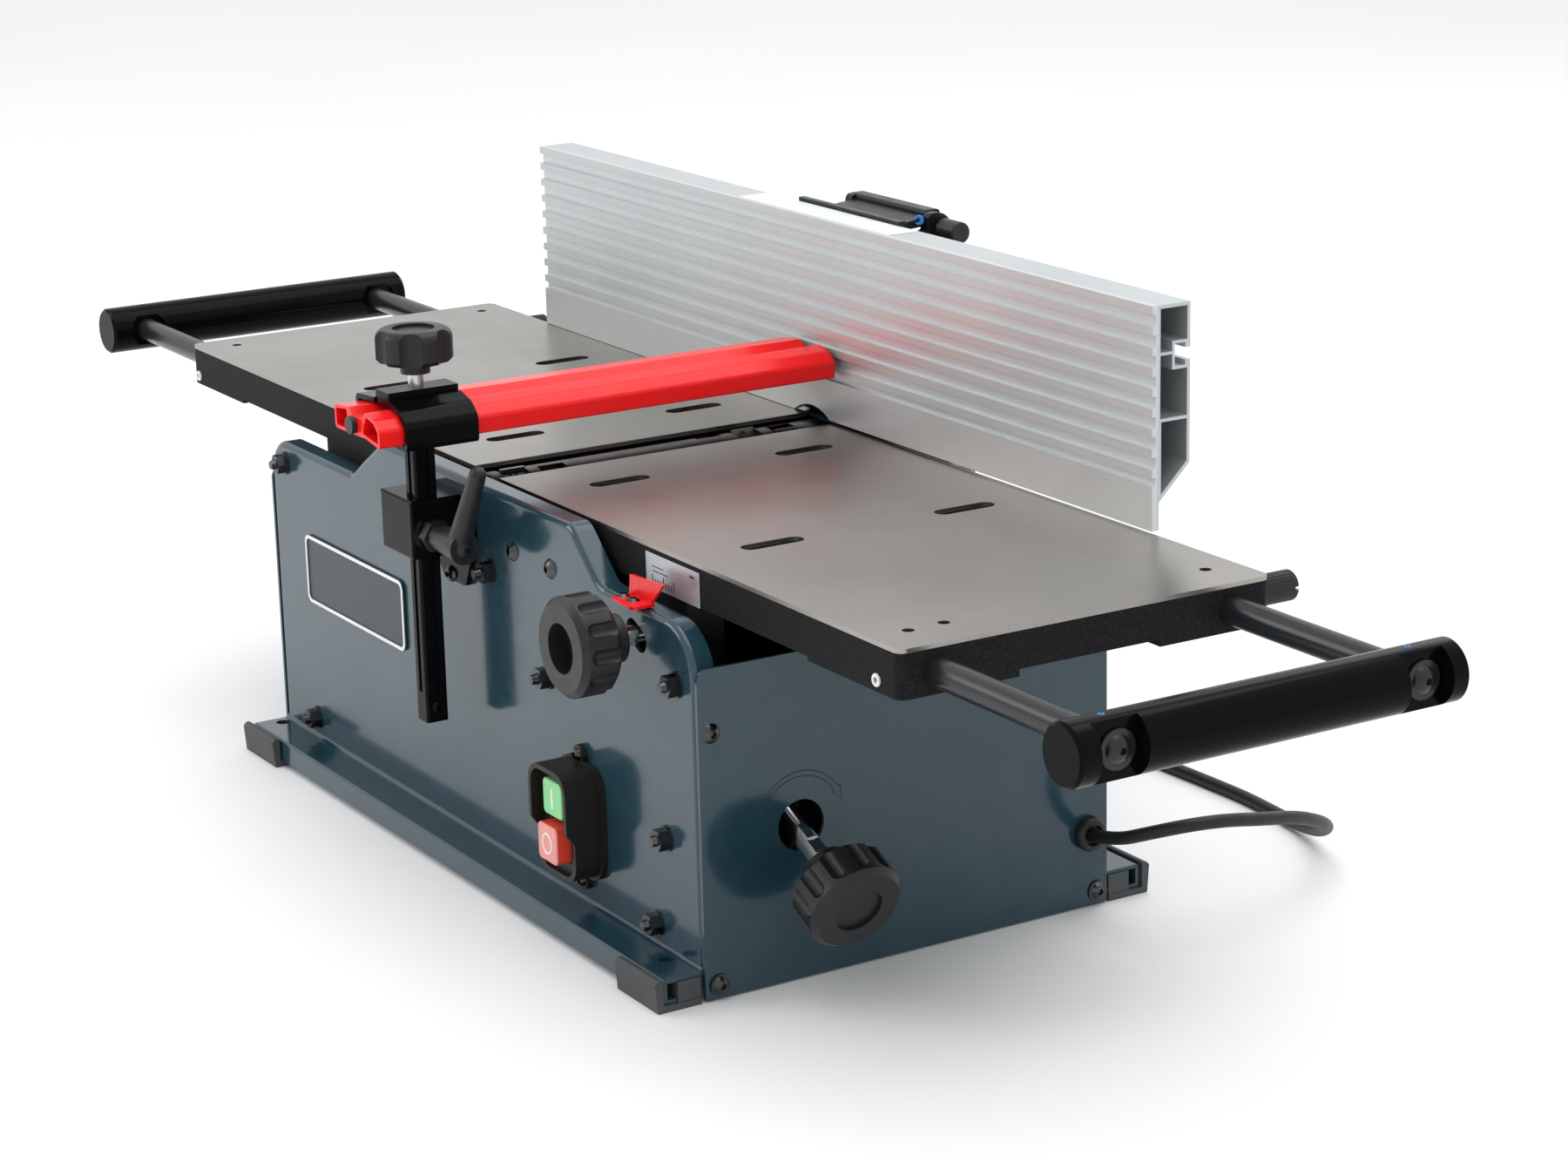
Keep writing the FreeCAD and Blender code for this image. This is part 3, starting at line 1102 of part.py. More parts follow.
build()
for name, shape in NODES.items():
    moved = shape.copy()
    moved.translate(V(0, 0, 0) - ORIGIN)
    if not moved.isValid() or moved.Volume <= 0:
        print("not valid:", name, moved.Volume)
    moved.exportStep("parts/" + name + ".step")
print(len(NODES), "nodes; origin", ORIGIN)
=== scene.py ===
import bpy
import bmesh
import json
import math
from mathutils import Matrix, Vector


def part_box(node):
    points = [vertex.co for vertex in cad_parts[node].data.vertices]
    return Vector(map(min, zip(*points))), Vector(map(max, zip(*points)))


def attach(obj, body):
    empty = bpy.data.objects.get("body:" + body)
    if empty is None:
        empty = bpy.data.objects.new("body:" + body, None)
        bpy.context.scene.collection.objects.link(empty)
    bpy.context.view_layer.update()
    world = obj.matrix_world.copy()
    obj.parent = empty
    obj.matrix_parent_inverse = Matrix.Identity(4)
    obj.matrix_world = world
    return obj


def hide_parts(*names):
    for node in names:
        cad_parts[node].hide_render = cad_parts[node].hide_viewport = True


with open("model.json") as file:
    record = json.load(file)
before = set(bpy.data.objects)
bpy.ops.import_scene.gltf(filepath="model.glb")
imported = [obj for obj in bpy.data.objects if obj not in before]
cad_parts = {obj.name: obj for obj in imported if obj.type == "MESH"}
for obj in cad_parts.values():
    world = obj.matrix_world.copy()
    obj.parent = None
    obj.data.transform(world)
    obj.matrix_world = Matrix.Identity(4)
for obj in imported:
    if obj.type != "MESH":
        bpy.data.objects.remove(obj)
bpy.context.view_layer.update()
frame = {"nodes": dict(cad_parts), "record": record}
NODES = frame["nodes"]

# The working frame of the drawing (mm): X = 0 over the cutterhead, Y = 0 at the tables' front edge.
DRAWING_X, DRAWING_Y = -7.55, 138.7


def at(x, y, z):
    """A point of the drawing, in metres in the row frame."""
    return Vector(((x - DRAWING_X) / 1000, (y - DRAWING_Y) / 1000, z / 1000))


# ---- camera ---------------------------------------------------------------------------
CAMERA_AZIMUTH, CAMERA_ELEVATION, CAMERA_ROLL = 58.97, 15.87, -1.38   # degrees
CAMERA_PLACE = (1664.9, -821.7, 671.5)                                # in the drawing, mm
SENSOR_WIDTH, FOCAL_LENGTH = 36.0, 83.48                              # mm


def make_camera():
    """Camera at a long lens, seeing the infeed end and the front of the machine."""
    azimuth, elevation, roll = (math.radians(angle) for angle in (
        CAMERA_AZIMUTH, CAMERA_ELEVATION, CAMERA_ROLL))
    back = Vector((math.sin(azimuth) * math.cos(elevation),
                   -math.cos(azimuth) * math.cos(elevation), math.sin(elevation)))
    right = (-back).cross(Vector((0, 0, 1))).normalized()
    up = right.cross(-back)
    side = math.cos(roll) * right + math.sin(roll) * up
    top = -math.sin(roll) * right + math.cos(roll) * up
    data = bpy.data.cameras.new("camera")
    data.sensor_fit = "HORIZONTAL"
    data.sensor_width = SENSOR_WIDTH
    data.lens = FOCAL_LENGTH
    data.clip_end = 50.0
    camera = bpy.data.objects.new("camera", data)
    turned = Matrix((side, top, back)).transposed().to_4x4()
    camera.matrix_world = Matrix.Translation(at(*CAMERA_PLACE)) @ turned
    bpy.context.collection.objects.link(camera)
    bpy.context.scene.camera = camera
    bpy.context.scene.view_settings.view_transform = "Standard"


make_camera()


# ---- mains cord -----------------------------------------------------------------------
# The route's points are those of the drawing; the coil's turns are worked out from its size.
CORD_R = 0.0035                                        # metres; all else here is in mm
CORD_ROUTE = [(250, 210.3, 40.5), (268, 210.8, 43.5), (286, 217, 51), (300, 231, 56.5),
              (306, 251, 57), (305, 274, 52.5), (300, 300, 47), (290, 324, 37), (274, 344, 25),
              (251, 358, 13), (226, 368, 5.4), (197, 373, 3.6), (166, 376, 3.6),
              (134, 375.5, 3.6), (102, 374.4, 3.6), (72, 373.4, 3.6), (46, 374.4, 3.8),
              (24, 376.0, 4.0)]
COIL_X, COIL_Y, COIL_FLOOR = 5.0, 336.0, 4.0
COIL_OUTER, COIL_INNER, COIL_LAYER = 40.6, 33.2, 7.1   # radii of the turns, height of a layer
COIL_SHIFTS, SHIFT_TURN, SHIFT_WIDE = 6, 315, 45       # moves to the next place, in degrees
COIL_START, COIL_STOP, COIL_STEP = 90, 2250, 22.5      # degrees
PLUG_LEAD = [(-12, 369.0, 24.4), (-27, 369.4, 19.4), (-39, 368.8, 14.4), (-48, 365.8, 12.5)]


def coil_point(angle):
    """Centre of the cord at an angle along the coil: columns and layers change in turn."""
    radius, height = COIL_OUTER, COIL_FLOOR
    for k in range(COIL_SHIFTS):
        begin = COIL_START + SHIFT_TURN * (k + 1)
        share = min(1.0, max(0.0, (angle - begin) / SHIFT_WIDE))
        share = share * share * (3 - 2 * share)
        if k % 2:
            height += COIL_LAYER * share
        else:
            sign = 1 if k % 4 else -1
            radius += sign * (COIL_OUTER - COIL_INNER) * share
    turn = math.radians(angle)
    return at(COIL_X + radius * math.cos(turn), COIL_Y + radius * math.sin(turn), height)


def make_cord():
    """The whole cord as one spline: its run from the machine, the coil and the plug's lead."""
    points = [at(*p) for p in CORD_ROUTE]
    for k in range(int((COIL_STOP - COIL_START) / COIL_STEP) + 1):
        points.append(coil_point(COIL_START + k * COIL_STEP))
    points += [at(*p) for p in PLUG_LEAD]
    curve = bpy.data.curves.new("mains_cord", "CURVE")
    curve.dimensions = "3D"
    curve.bevel_depth = CORD_R
    curve.bevel_resolution = 6
    curve.resolution_u = 8
    curve.use_fill_caps = True
    spline = curve.splines.new("NURBS")
    spline.points.add(len(points) - 1)
    for place, point in zip(spline.points, points):
        place.co = (*point, 1.0)
    spline.order_u = 3
    spline.use_endpoint_u = True
    made = bpy.data.objects.new("mains_cord", curve)
    bpy.context.collection.objects.link(made)
    return made


CORD = make_cord()


# ---- materials ------------------------------------------------------------------------
class Graph:
    """A material's node tree round one Principled shader."""

    def __init__(self, name):
        self.material = bpy.data.materials.new(name)
        self.material.use_nodes = True
        self.tree = self.material.node_tree
        self.shader = self.tree.nodes["Principled BSDF"]
        self.coords = self.add("ShaderNodeTexCoord").outputs["Object"]

    def add(self, kind, settings=None, **inputs):
        made = self.tree.nodes.new(kind)
        for key, value in (settings or {}).items():
            setattr(made, key, value)
        for key, value in inputs.items():
            self.put(made, key.replace("_", " "), value)
        return made

    def put(self, made, socket, value):
        target = made.inputs[int(socket) if socket.isdigit() else socket]
        if isinstance(value, bpy.types.NodeSocket):
            self.tree.links.new(value, target)
        else:
            target.default_value = value

    def stretched(self, scale):
        """Coordinates scaled by a different number on each axis."""
        return self.add("ShaderNodeMapping", Vector=self.coords, Scale=scale).outputs["Vector"]

    def noise(self, scale, detail=3.0, stretch=None, rough=0.5):
        where = self.stretched(stretch) if stretch else self.coords
        made = self.add("ShaderNodeTexNoise", Vector=where, Scale=scale, Detail=detail,
                        Roughness=rough)
        return made.outputs["Fac"]

    def ranged(self, value, low, high, start=0.3, stop=0.7):
        """Maps start to stop onto low to high."""
        made = self.add("ShaderNodeMapRange", Value=value, **{
            "From_Min": start, "From_Max": stop, "To_Min": low, "To_Max": high})
        return made.outputs["Result"]

    def math(self, operation, a, b=0.0):
        made = self.add("ShaderNodeMath", {"operation": operation})
        self.put(made, "0", a)
        self.put(made, "1", b)
        return made.outputs["Value"]

    def mix(self, factor, a, b):
        """Colour mix: a where factor is 0, b where it is 1."""
        made = self.add("ShaderNodeMix", {"data_type": "RGBA"})
        self.put(made, "0", factor)
        self.put(made, "6", a)
        self.put(made, "7", b)
        return made.outputs[2]

    def blend(self, factor, a, b):
        """Number mix: a where factor is 0, b where it is 1."""
        made = self.add("ShaderNodeMix", {"data_type": "FLOAT"})
        self.put(made, "0", factor)
        self.put(made, "2", a)
        self.put(made, "3", b)
        return made.outputs[0]

    def place(self, axis):
        """Position along X, Y or Z in metres."""
        return self.add("ShaderNodeSeparateXYZ", Vector=self.coords).outputs[axis]

    def cloudy(self, value, a, b):
        """Colour that drifts from a to b with a noise value."""
        return self.mix(self.ranged(value, 0.0, 1.0), a, b)

    def bump(self, heights):
        """Chained bumps from (height, distance, strength)."""
        normal = None
        for value, distance, strength in heights:
            made = self.add("ShaderNodeBump", Height=value, Distance=distance, Strength=strength)
            if normal:
                self.put(made, "Normal", normal)
            normal = made.outputs["Normal"]
        self.put(self.shader, "Normal", normal)

    def set(self, **inputs):
        """Sockets of the Principled shader."""
        for key, value in inputs.items():
            self.put(self.shader, key.replace("_", " "), value)


def shade(colour, factor):
    """The colour made darker or lighter, with alpha 1."""
    return tuple(min(1.0, c * factor) for c in colour) + (1.0,)


def finish(name, colour, rough, metal=0.0, spread=0.12, patch=35.0, rough_spread=0.05,
           bumps=(), stretch=None, **more):
    """A coated, moulded or turned surface: colour and gloss vary a little over it, and
    bumps are (scale, distance, strength) of its texture."""
    g = Graph(name)
    cloud = g.noise(patch, 4.0, stretch)
    g.set(Base_Color=g.cloudy(cloud, shade(colour, 1 - spread), shade(colour, 1 + spread)))
    g.set(Roughness=g.ranged(g.noise(patch * 3.1, 5.0, stretch), rough - rough_spread,
                             rough + rough_spread))
    g.set(Metallic=metal, **more)
    if bumps:
        g.bump([(g.noise(scale, 2.0, stretch), distance, strength)
                for scale, distance, strength in bumps])
    return g.material


TABLE_LIP = 0.0021        # bare iron down the edge of a table
FENCE_FACE = 0.0004       # worn depth of a fence rib's face
FENCE_FLANK = 0.0032      # depth of a fence rib's flanks
BADGE_RIM = 0.0006        # depth of the badge's raised rim
BUTTON_FACE = 0.0009      # depth of the red button's pressing face


def table_material(name, top):
    """Ground iron on top, down to the lip's edge; black crinkle coat below."""
    g = Graph(name)
    bare = g.math("GREATER_THAN", g.place("Z"), top - TABLE_LIP)
    lines = g.noise(1.0, 3.0, (14.0, 1500.0, 14.0))
    cloud = g.noise(9.0, 5.0)
    iron = g.cloudy(cloud, (0.30, 0.275, 0.25, 1), (0.37, 0.345, 0.32, 1))
    iron = g.mix(g.ranged(lines, 0.0, 0.16), iron, (0.50, 0.48, 0.45, 1))
    crinkle = g.noise(900.0, 3.0)
    coat = g.mix(g.ranged(crinkle, 0.35, 1.0), (0.003, 0.003, 0.0035, 1),
                 (0.019, 0.019, 0.020, 1))
    g.set(Base_Color=g.mix(bare, coat, iron), Metallic=bare, Specular_IOR_Level=0.04)
    rough = g.ranged(g.noise(30.0, 2.0), 0.28, 0.33)
    g.set(Roughness=g.blend(bare, 0.5, rough))
    relief = g.blend(bare, g.math("MULTIPLY", crinkle, 14.0), lines)
    g.bump([(relief, 0.00002, 0.35)])
    return g.material


def fence_material(front):
    """Anodised extrusion: brushed rib faces; the grooves and rib flanks are painted paler, a
    painted highlight.
    """
    g = Graph("fence_anodised")
    depth = g.place("Y")
    rib = g.math("LESS_THAN", depth, front + FENCE_FACE)
    # mask of the grooves and rib flanks that get the painted highlight
    sheen_flank = g.math("LESS_THAN", depth, front + FENCE_FLANK)
    drawn = g.noise(1.0, 3.0, (5.0, 900.0, 900.0))
    cloud = g.noise(6.0, 4.0)
    base = g.cloudy(cloud, (0.47, 0.50, 0.505, 1), (0.55, 0.58, 0.585, 1))
    # painted highlight: the grooves and rib flanks are painted paler, as where light catches them
    painted_sheen = g.cloudy(cloud, (0.57, 0.60, 0.61, 1), (0.62, 0.65, 0.66, 1))
    worn = g.cloudy(cloud, (0.50, 0.505, 0.50, 1), (0.56, 0.565, 0.56, 1))
    worn = g.mix(g.ranged(drawn, 0.0, 0.35), worn, (0.63, 0.63, 0.62, 1))
    g.set(Base_Color=g.mix(rib, g.mix(sheen_flank, base, painted_sheen), worn), Metallic=0.6)
    g.set(Roughness=g.ranged(g.noise(160.0, 4.0), 0.34, 0.44))
    g.bump([(drawn, 0.00003, 0.35), (g.noise(2600.0, 2.0), 0.00001, 0.3)])
    return g.material


def badge_material(front):
    """Dark brushed plate inside a bright raised rim."""
    g = Graph("badge_plate")
    rim = g.math("LESS_THAN", g.place("Y"), front + BADGE_RIM)
    brushed = g.noise(1.0, 2.0, (60.0, 60.0, 2600.0))
    dark = g.cloudy(brushed, (0.020, 0.025, 0.029, 1), (0.036, 0.042, 0.047, 1))
    bright = g.cloudy(brushed, (0.62, 0.63, 0.65, 1), (0.80, 0.81, 0.83, 1))
    g.set(Base_Color=g.mix(rim, dark, bright), Metallic=g.blend(rim, 0.3, 1.0))
    g.set(Roughness=g.blend(rim, 0.38, 0.22))
    g.bump([(brushed, 0.00002, 0.3)])
    return g.material


def button_red_material(front):
    """Red button: saturated sides, and a pressing face painted pale as a painted sheen."""
    g = Graph("button_red")
    face = g.math("LESS_THAN", g.place("Y"), front + BUTTON_FACE)
    cloud = g.ranged(g.noise(60.0, 3.0), 0.0, 1.0)
    side = g.mix(cloud, (0.72, 0.045, 0.022, 1), (0.82, 0.065, 0.030, 1))
    # painted sheen: the pressing face is painted pale pink, as if it caught the light
    painted_sheen = g.mix(cloud, (0.66, 0.22, 0.20, 1), (0.74, 0.28, 0.25, 1))
    g.set(Base_Color=g.mix(face, side, painted_sheen), Roughness=g.ranged(cloud, 0.28, 0.36, 0.0, 1.0))
    g.bump([(g.noise(600.0, 2.0), 0.00001, 0.2)])
    return g.material


PEEL = ((950.0, 0.00006, 0.30), (330.0, 0.00010, 0.16))
SATIN = ((1500.0, 0.00003, 0.35),)
MOULD = ((2200.0, 0.00003, 0.45),)
LOOKS = {
    "housing": finish("powder_coat", (0.015, 0.044, 0.061), 0.16, bumps=PEEL, spread=0.10,
                      rough_spread=0.03, Coat_Weight=0.26, Coat_Roughness=0.08,
                      Specular_IOR_Level=0.42),
    "foot_plastic": finish("foot_plastic", (0.060, 0.062, 0.064), 0.62, bumps=MOULD,
                           Specular_IOR_Level=0.30),
    "casting": finish("casting_coat", (0.012, 0.012, 0.013), 0.55, spread=0.3,
                      bumps=((900.0, 0.0002, 0.5),), Specular_IOR_Level=0.25),
    "knob_plastic": finish("knob_plastic", (0.013, 0.013, 0.014), 0.38, bumps=MOULD,
                           Specular_IOR_Level=0.32),
    "bar_paint": finish("bar_gloss", (0.0025, 0.0025, 0.003), 0.13, rough_spread=0.02,
                        bumps=((420.0, 0.00002, 0.12),), Specular_IOR_Level=0.06),
    "black_oxide": finish("black_oxide", (0.012, 0.013, 0.015), 0.26, spread=0.25,
                          bumps=((1.0, 0.00001, 0.3),), stretch=(20.0, 1200.0, 1200.0),
                          Specular_IOR_Level=0.38),
    "bearing_steel": finish("bearing_steel", (0.55, 0.55, 0.56), 0.22, metal=1.0),
    "head_steel": finish("head_steel", (0.085, 0.082, 0.080), 0.34, metal=1.0, spread=0.2,
                         bumps=((1200.0, 0.00002, 0.3),)),
    "carbide": finish("carbide", (0.16, 0.155, 0.155), 0.26, metal=1.0),
    "belt_rubber": finish("belt_rubber", (0.012, 0.012, 0.012), 0.7, bumps=MOULD),
    "sheet_black": finish("sheet_black", (0.012, 0.012, 0.013), 0.32, bumps=PEEL,
                          Specular_IOR_Level=0.35),
    "motor_alloy": finish("motor_alloy", (0.26, 0.26, 0.27), 0.45, metal=0.9,
                          bumps=((700.0, 0.0001, 0.4),)),
    "chute_plastic": finish("chute_plastic", (0.020, 0.020, 0.021), 0.5, bumps=MOULD),
    "nut_brass": finish("nut_brass", (0.62, 0.44, 0.17), 0.3, metal=1.0, bumps=SATIN),
    "screw_chrome": finish("screw_chrome", (0.66, 0.66, 0.66), 0.20, metal=1.0, spread=0.05,
                           rough_spread=0.03, bumps=((300.0, 0.00001, 0.1),)),
    "zinc": finish("zinc", (0.56, 0.57, 0.58), 0.24, metal=1.0, spread=0.18,
                   bumps=((900.0, 0.00002, 0.3),)),
    "guard_red": finish("guard_red", (0.82, 0.007, 0.008), 0.24, spread=0.05, rough_spread=0.04,
                        bumps=((1.0, 0.00001, 0.2),), stretch=(900.0, 4.0, 900.0),
                        Specular_IOR_Level=0.30),
    "clamp_black": finish("clamp_black", (0.003, 0.003, 0.004), 0.18, bumps=PEEL,
                          Specular_IOR_Level=0.08),
    "bracket_black": finish("bracket_black", (0.008, 0.008, 0.009), 0.34,
                            bumps=((900.0, 0.0001, 0.35),), Specular_IOR_Level=0.22),
    "fastener": finish("fastener", (0.085, 0.085, 0.088), 0.26, metal=1.0, spread=0.3,
                       bumps=((1500.0, 0.00002, 0.4),)),
    "switch_plastic": finish("switch_plastic", (0.011, 0.0095, 0.0085), 0.46, bumps=MOULD,
                             Specular_IOR_Level=0.30),
    "button_green": finish("button_green", (0.22, 0.62, 0.25), 0.30, spread=0.06,
                           bumps=((600.0, 0.00001, 0.2),), Subsurface_Weight=0.15,
                           Subsurface_Scale=0.002),
    "button_red": button_red_material(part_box("red_button")[0][1]),
    "cord_rubber": finish("cord_rubber", (0.012, 0.012, 0.013), 0.46, bumps=MOULD,
                          Specular_IOR_Level=0.35),
    "plug_plastic": finish("plug_plastic", (0.012, 0.012, 0.013), 0.35, bumps=MOULD,
                           Specular_IOR_Level=0.4),
    "label_silver": finish("label_silver", (0.44, 0.47, 0.49), 0.30, metal=0.6, spread=0.10,
                           bumps=((1.0, 0.00001, 0.2),), stretch=(60.0, 60.0, 2400.0)),
    "label_white": finish("label_white", (0.74, 0.77, 0.79), 0.28, spread=0.03),
    "print_dark": finish("print_dark", (0.020, 0.024, 0.028), 0.45),
    "print_pale": finish("print_pale", (0.55, 0.62, 0.66), 0.40, spread=0.06),
    "mark_white": finish("mark_white", (0.80, 0.80, 0.79), 0.40, spread=0.03),
    "thread_lock_blue": finish("thread_lock_blue", (0.010, 0.17, 0.50), 0.30, spread=0.2,
                               bumps=((1500.0, 0.0001, 0.4),)),
    "nylon_white": finish("nylon_white", (0.72, 0.72, 0.70), 0.42, spread=0.05, bumps=MOULD),
    "tie_black": finish("tie_black", (0.014, 0.014, 0.014), 0.6, bumps=MOULD),
    "fence_alloy": fence_material(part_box("fence")[0][1]),
    "badge_metal": badge_material(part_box("badge")[0][1]),
}
SLOT_OF = {part["node"]: part["material_slot"] for part in frame["record"]["subparts"]}
for node_name, item in NODES.items():
    if node_name in ("infeed_table", "outfeed_table"):
        look = table_material(node_name + "_metal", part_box(node_name)[1][2])
    else:
        look = LOOKS[SLOT_OF[node_name]]
    for place in item.material_slots:
        place.material = look


CORD.data.materials.append(LOOKS["cord_rubber"])
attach(CORD, "base")
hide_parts("power_cord")
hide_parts("cord_coil")


# ---- pieces ---------------------------------------------------------------------------
def piece(name, bm, look, body, smooth=35.0):
    """Turns a bmesh into an object that rides on a CAD body."""
    mesh = bpy.data.meshes.new(name)
    bmesh.ops.recalc_face_normals(bm, faces=bm.faces)
    bm.to_mesh(mesh)
    bm.free()
    mesh.materials.append(look)
    made = bpy.data.objects.new(name, mesh)
    bpy.context.collection.objects.link(made)
    mesh.shade_smooth()
    mesh.set_sharp_from_angle(angle=math.radians(smooth))
    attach(made, body)
    return made


def add_box(bm, low, high):
    """A box between two corners, added to bm."""
    corners = [bm.verts.new((x, y, z)) for x in (low[0], high[0]) for y in (low[1], high[1])
               for z in (low[2], high[2])]
    for quad in ((0, 1, 3, 2), (4, 6, 7, 5), (0, 4, 5, 1),
                 (2, 3, 7, 6), (0, 2, 6, 4), (1, 5, 7, 3)):
        bm.faces.new([corners[i] for i in quad])


def add_slab(bm, points, depth):
    """A closed outline (3-D points in one plane) given thickness along depth."""
    low = [bm.verts.new(p) for p in points]
    high = [bm.verts.new(Vector(p) + depth) for p in points]
    bm.faces.new(low)
    bm.faces.new(list(reversed(high)))
    for i in range(len(low)):
        j = (i + 1) % len(low)
        bm.faces.new((low[i], high[i], high[j], low[j]))


def spin(bm, base, axis, profile, steps=32):
    """Solid of revolution: profile is (distance along axis, radius), from base."""
    axis = Vector(axis).normalized()
    side = axis.orthogonal().normalized()
    other = axis.cross(side)
    rings = []
    for along, radius in profile:
        centre = Vector(base) + axis * along
        rings.append([bm.verts.new(centre + (side * math.cos(a) + other * math.sin(a)) * radius)
                      for a in (2 * math.pi * k / steps for k in range(steps))])
    for one, two in zip(rings, rings[1:]):
        for k in range(steps):
            m = (k + 1) % steps
            bm.faces.new((one[k], one[m], two[m], two[k]))
    bm.faces.new(list(reversed(rings[0])))
    bm.faces.new(rings[-1])


def bevel_all(bm, width, segments=1):
    """Breaks every edge of bm."""
    bmesh.ops.bevel(bm, geom=list(bm.edges), offset=width, segments=segments, affect="EDGES",
                    clamp_overlap=True)


def wire_loop(bm, points, normal, radius, steps=8):
    """A closed round wire through points of one plane."""
    rings = []
    for i, point in enumerate(points):
        along = (points[(i + 1) % len(points)] - points[i - 1]).normalized()
        side = along.cross(normal).normalized()
        turns = [2 * math.pi * k / steps for k in range(steps)]
        rings.append([bm.verts.new(point + (side * math.cos(t) + normal * math.sin(t)) * radius)
                      for t in turns])
    for one, two in zip(rings, rings[1:] + rings[:1]):
        for k in range(steps):
            m = (k + 1) % steps
            bm.faces.new((one[k], one[m], two[m], two[k]))


# ---- labels and marks -----------------------------------------------------------------
def depth_label():
    """Silver scale plate on the front edge of the infeed table, with plain tick marks."""
    plate_face, plate_back = -0.35, -0.02
    mark_face, mark_back = -0.50, -0.34
    first, pitch, width, foot = 176, 2.6, 0.55, 192.2
    long_tick, short_tick, line = 5.2, 2.8, 0.45
    bm = bmesh.new()
    add_box(bm, at(169.8, plate_face, 190.2), at(221.4, plate_back, 207.6))
    bevel_all(bm, 0.00012)
    piece("depth_label", bm, LOOKS["label_silver"], "infeed")
    bm = bmesh.new()
    for k in range(9):
        tall = long_tick if k % 4 == 0 else short_tick
        x = first + pitch * k
        add_box(bm, at(x, mark_face, foot), at(x + width, mark_back, foot + tall))
    for z, start, stop in ((198.9, 176, 191), (201.2, 176, 187)):
        add_box(bm, at(start, mark_face, z), at(stop, mark_back, z + line))
    add_box(bm, at(212.5, mark_face, 203.6), at(217.0, mark_back, 204.8))
    piece("depth_label_marks", bm, LOOKS["print_dark"], "infeed")


def fence_label():
    """Blank white label on the top of the fence, with faint ruled lines."""
    label_low, label_top = 324.22, 324.5
    line_low, line_top = 324.49, 324.56
    first, pitch, width = 210.2, 2.6, 0.7
    bm = bmesh.new()
    add_box(bm, at(-84, 207.0, label_low), at(70, 225.8, label_top))
    bevel_all(bm, 0.0001)
    piece("fence_label", bm, LOOKS["label_white"], "fence")
    bm = bmesh.new()
    for k in range(5):
        y = first + pitch * k
        add_box(bm, at(-60, y, line_low), at(18 - 7 * (k % 3), y + width, line_top))
    piece("fence_label_lines", bm, LOOKS["print_pale"], "fence")


def fold_radii():
    """Inside radius of the fold between each side panel and its bottom flange."""
    start, stop, fold, z, steps = -247.0, 241.8, 2.2, 16.0, 6
    for name, y, out in (("front", -16.4, -1), ("rear", 222.2, 1)):
        bm = bmesh.new()
        section = [(y, z), (y + out * fold, z)]
        section += [(y + out * fold * (1 - math.sin(t)), z + fold * (1 - math.cos(t)))
                    for t in (math.pi / 2 * k / steps for k in range(1, steps + 1))]
        length = Vector(((stop - start) / 1000, 0, 0))
        add_slab(bm, [at(start, a, b) for a, b in section], length)
        piece(name + "_fold_radius", bm, LOOKS["housing"], "base")


def turn_mark():
    """Outline of a double-headed curved arrow above the height knob: which way it turns."""
    face, centre_y, centre_z = 244.2, 39.4, 82.0
    reach, half, wing, tip = 24.0, 1.3, 3.2, math.radians(15)
    ink = 0.00030
    low, high, steps = math.radians(32), math.radians(146), 24
    arc = [low + (high - low) * k / steps for k in range(steps + 1)]
    outline = [(reach - half, t) for t in arc]
    outline += [(reach - wing, high), (reach, high + tip), (reach + wing, high)]
    outline += [(reach + half, t) for t in reversed(arc)]
    outline += [(reach + wing, low), (reach, low - tip), (reach - wing, low)]
    bm = bmesh.new()
    points = [at(face, centre_y + r * math.cos(t), centre_z + r * math.sin(t))
              for r, t in outline]
    wire_loop(bm, points, Vector((1, 0, 0)), ink, 6)
    piece("turn_mark", bm, LOOKS["print_dark"], "base")


def button_marks():
    """I on the start button and O on the stop button."""
    centre = 126.8
    bar_half, bar_low, bar_high = 0.8, 69.2, 80.0
    ring_wide, ring_tall, ring_z, ring_wire, steps = 4.6, 5.2, 51.7, 0.00055, 36
    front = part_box("green_button")[0][1] * 1000 + DRAWING_Y
    bm = bmesh.new()
    add_box(bm, at(centre - bar_half, front - 0.20, bar_low),
            at(centre + bar_half, front + 0.3, bar_high))
    bevel_all(bm, 0.00012)
    piece("start_mark", bm, LOOKS["mark_white"], "green_button")
    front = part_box("red_button")[0][1] * 1000 + DRAWING_Y
    bm = bmesh.new()
    ring = [at(centre + ring_wide * math.cos(a), front + 0.15, ring_z + ring_tall * math.sin(a))
            for a in (2 * math.pi * k / steps for k in range(steps))]
    wire_loop(bm, ring, Vector((0, -1, 0)), ring_wire)
    piece("stop_mark", bm, LOOKS["mark_white"], "red_button")


# ---- small fasteners ------------------------------------------------------------------
def socket_screw(name, base, axis, radius, depth, look, body):
    """Set screw: chamfered end with a round socket sunk in it."""
    chamfer, sink, steps = 0.0004, 0.0012, 24
    bm = bmesh.new()
    spin(bm, base, axis, [(0, radius), (depth - chamfer, radius), (depth, radius - chamfer),
                          (depth, radius * 0.5), (depth - sink, radius * 0.45)], steps)
    return piece(name, bm, look, body)


def table_set_screws():
    """White nylon set screw in the front edge of each table."""
    for name, x, z, body in (("infeed", 376.3, 194.1, "infeed"),
                             ("outfeed", -390.5, 194.8, "base")):
        socket_screw(name + "_gib_screw", at(x, 0.1, z), (0, -1, 0), 0.0031, 0.0012,
                     LOOKS["nylon_white"], body)


def bar_set_screws():
    """Blue-locked set screws in the top of each support bar."""
    radius, depth, sunk = 0.00176, 0.0024, 0.0022
    for name in ("infeed", "outfeed"):
        low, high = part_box(name + "_bar")
        middle = (low[0] + high[0]) / 2
        for k, y in enumerate((16.2, 179.1)):
            place = Vector((middle, (y - DRAWING_Y) / 1000, high[2] - sunk))
            socket_screw("%s_bar_lock_%d" % (name, k), place, (0, 0, 1), radius, depth,
                         LOOKS["thread_lock_blue"], name + "_support")


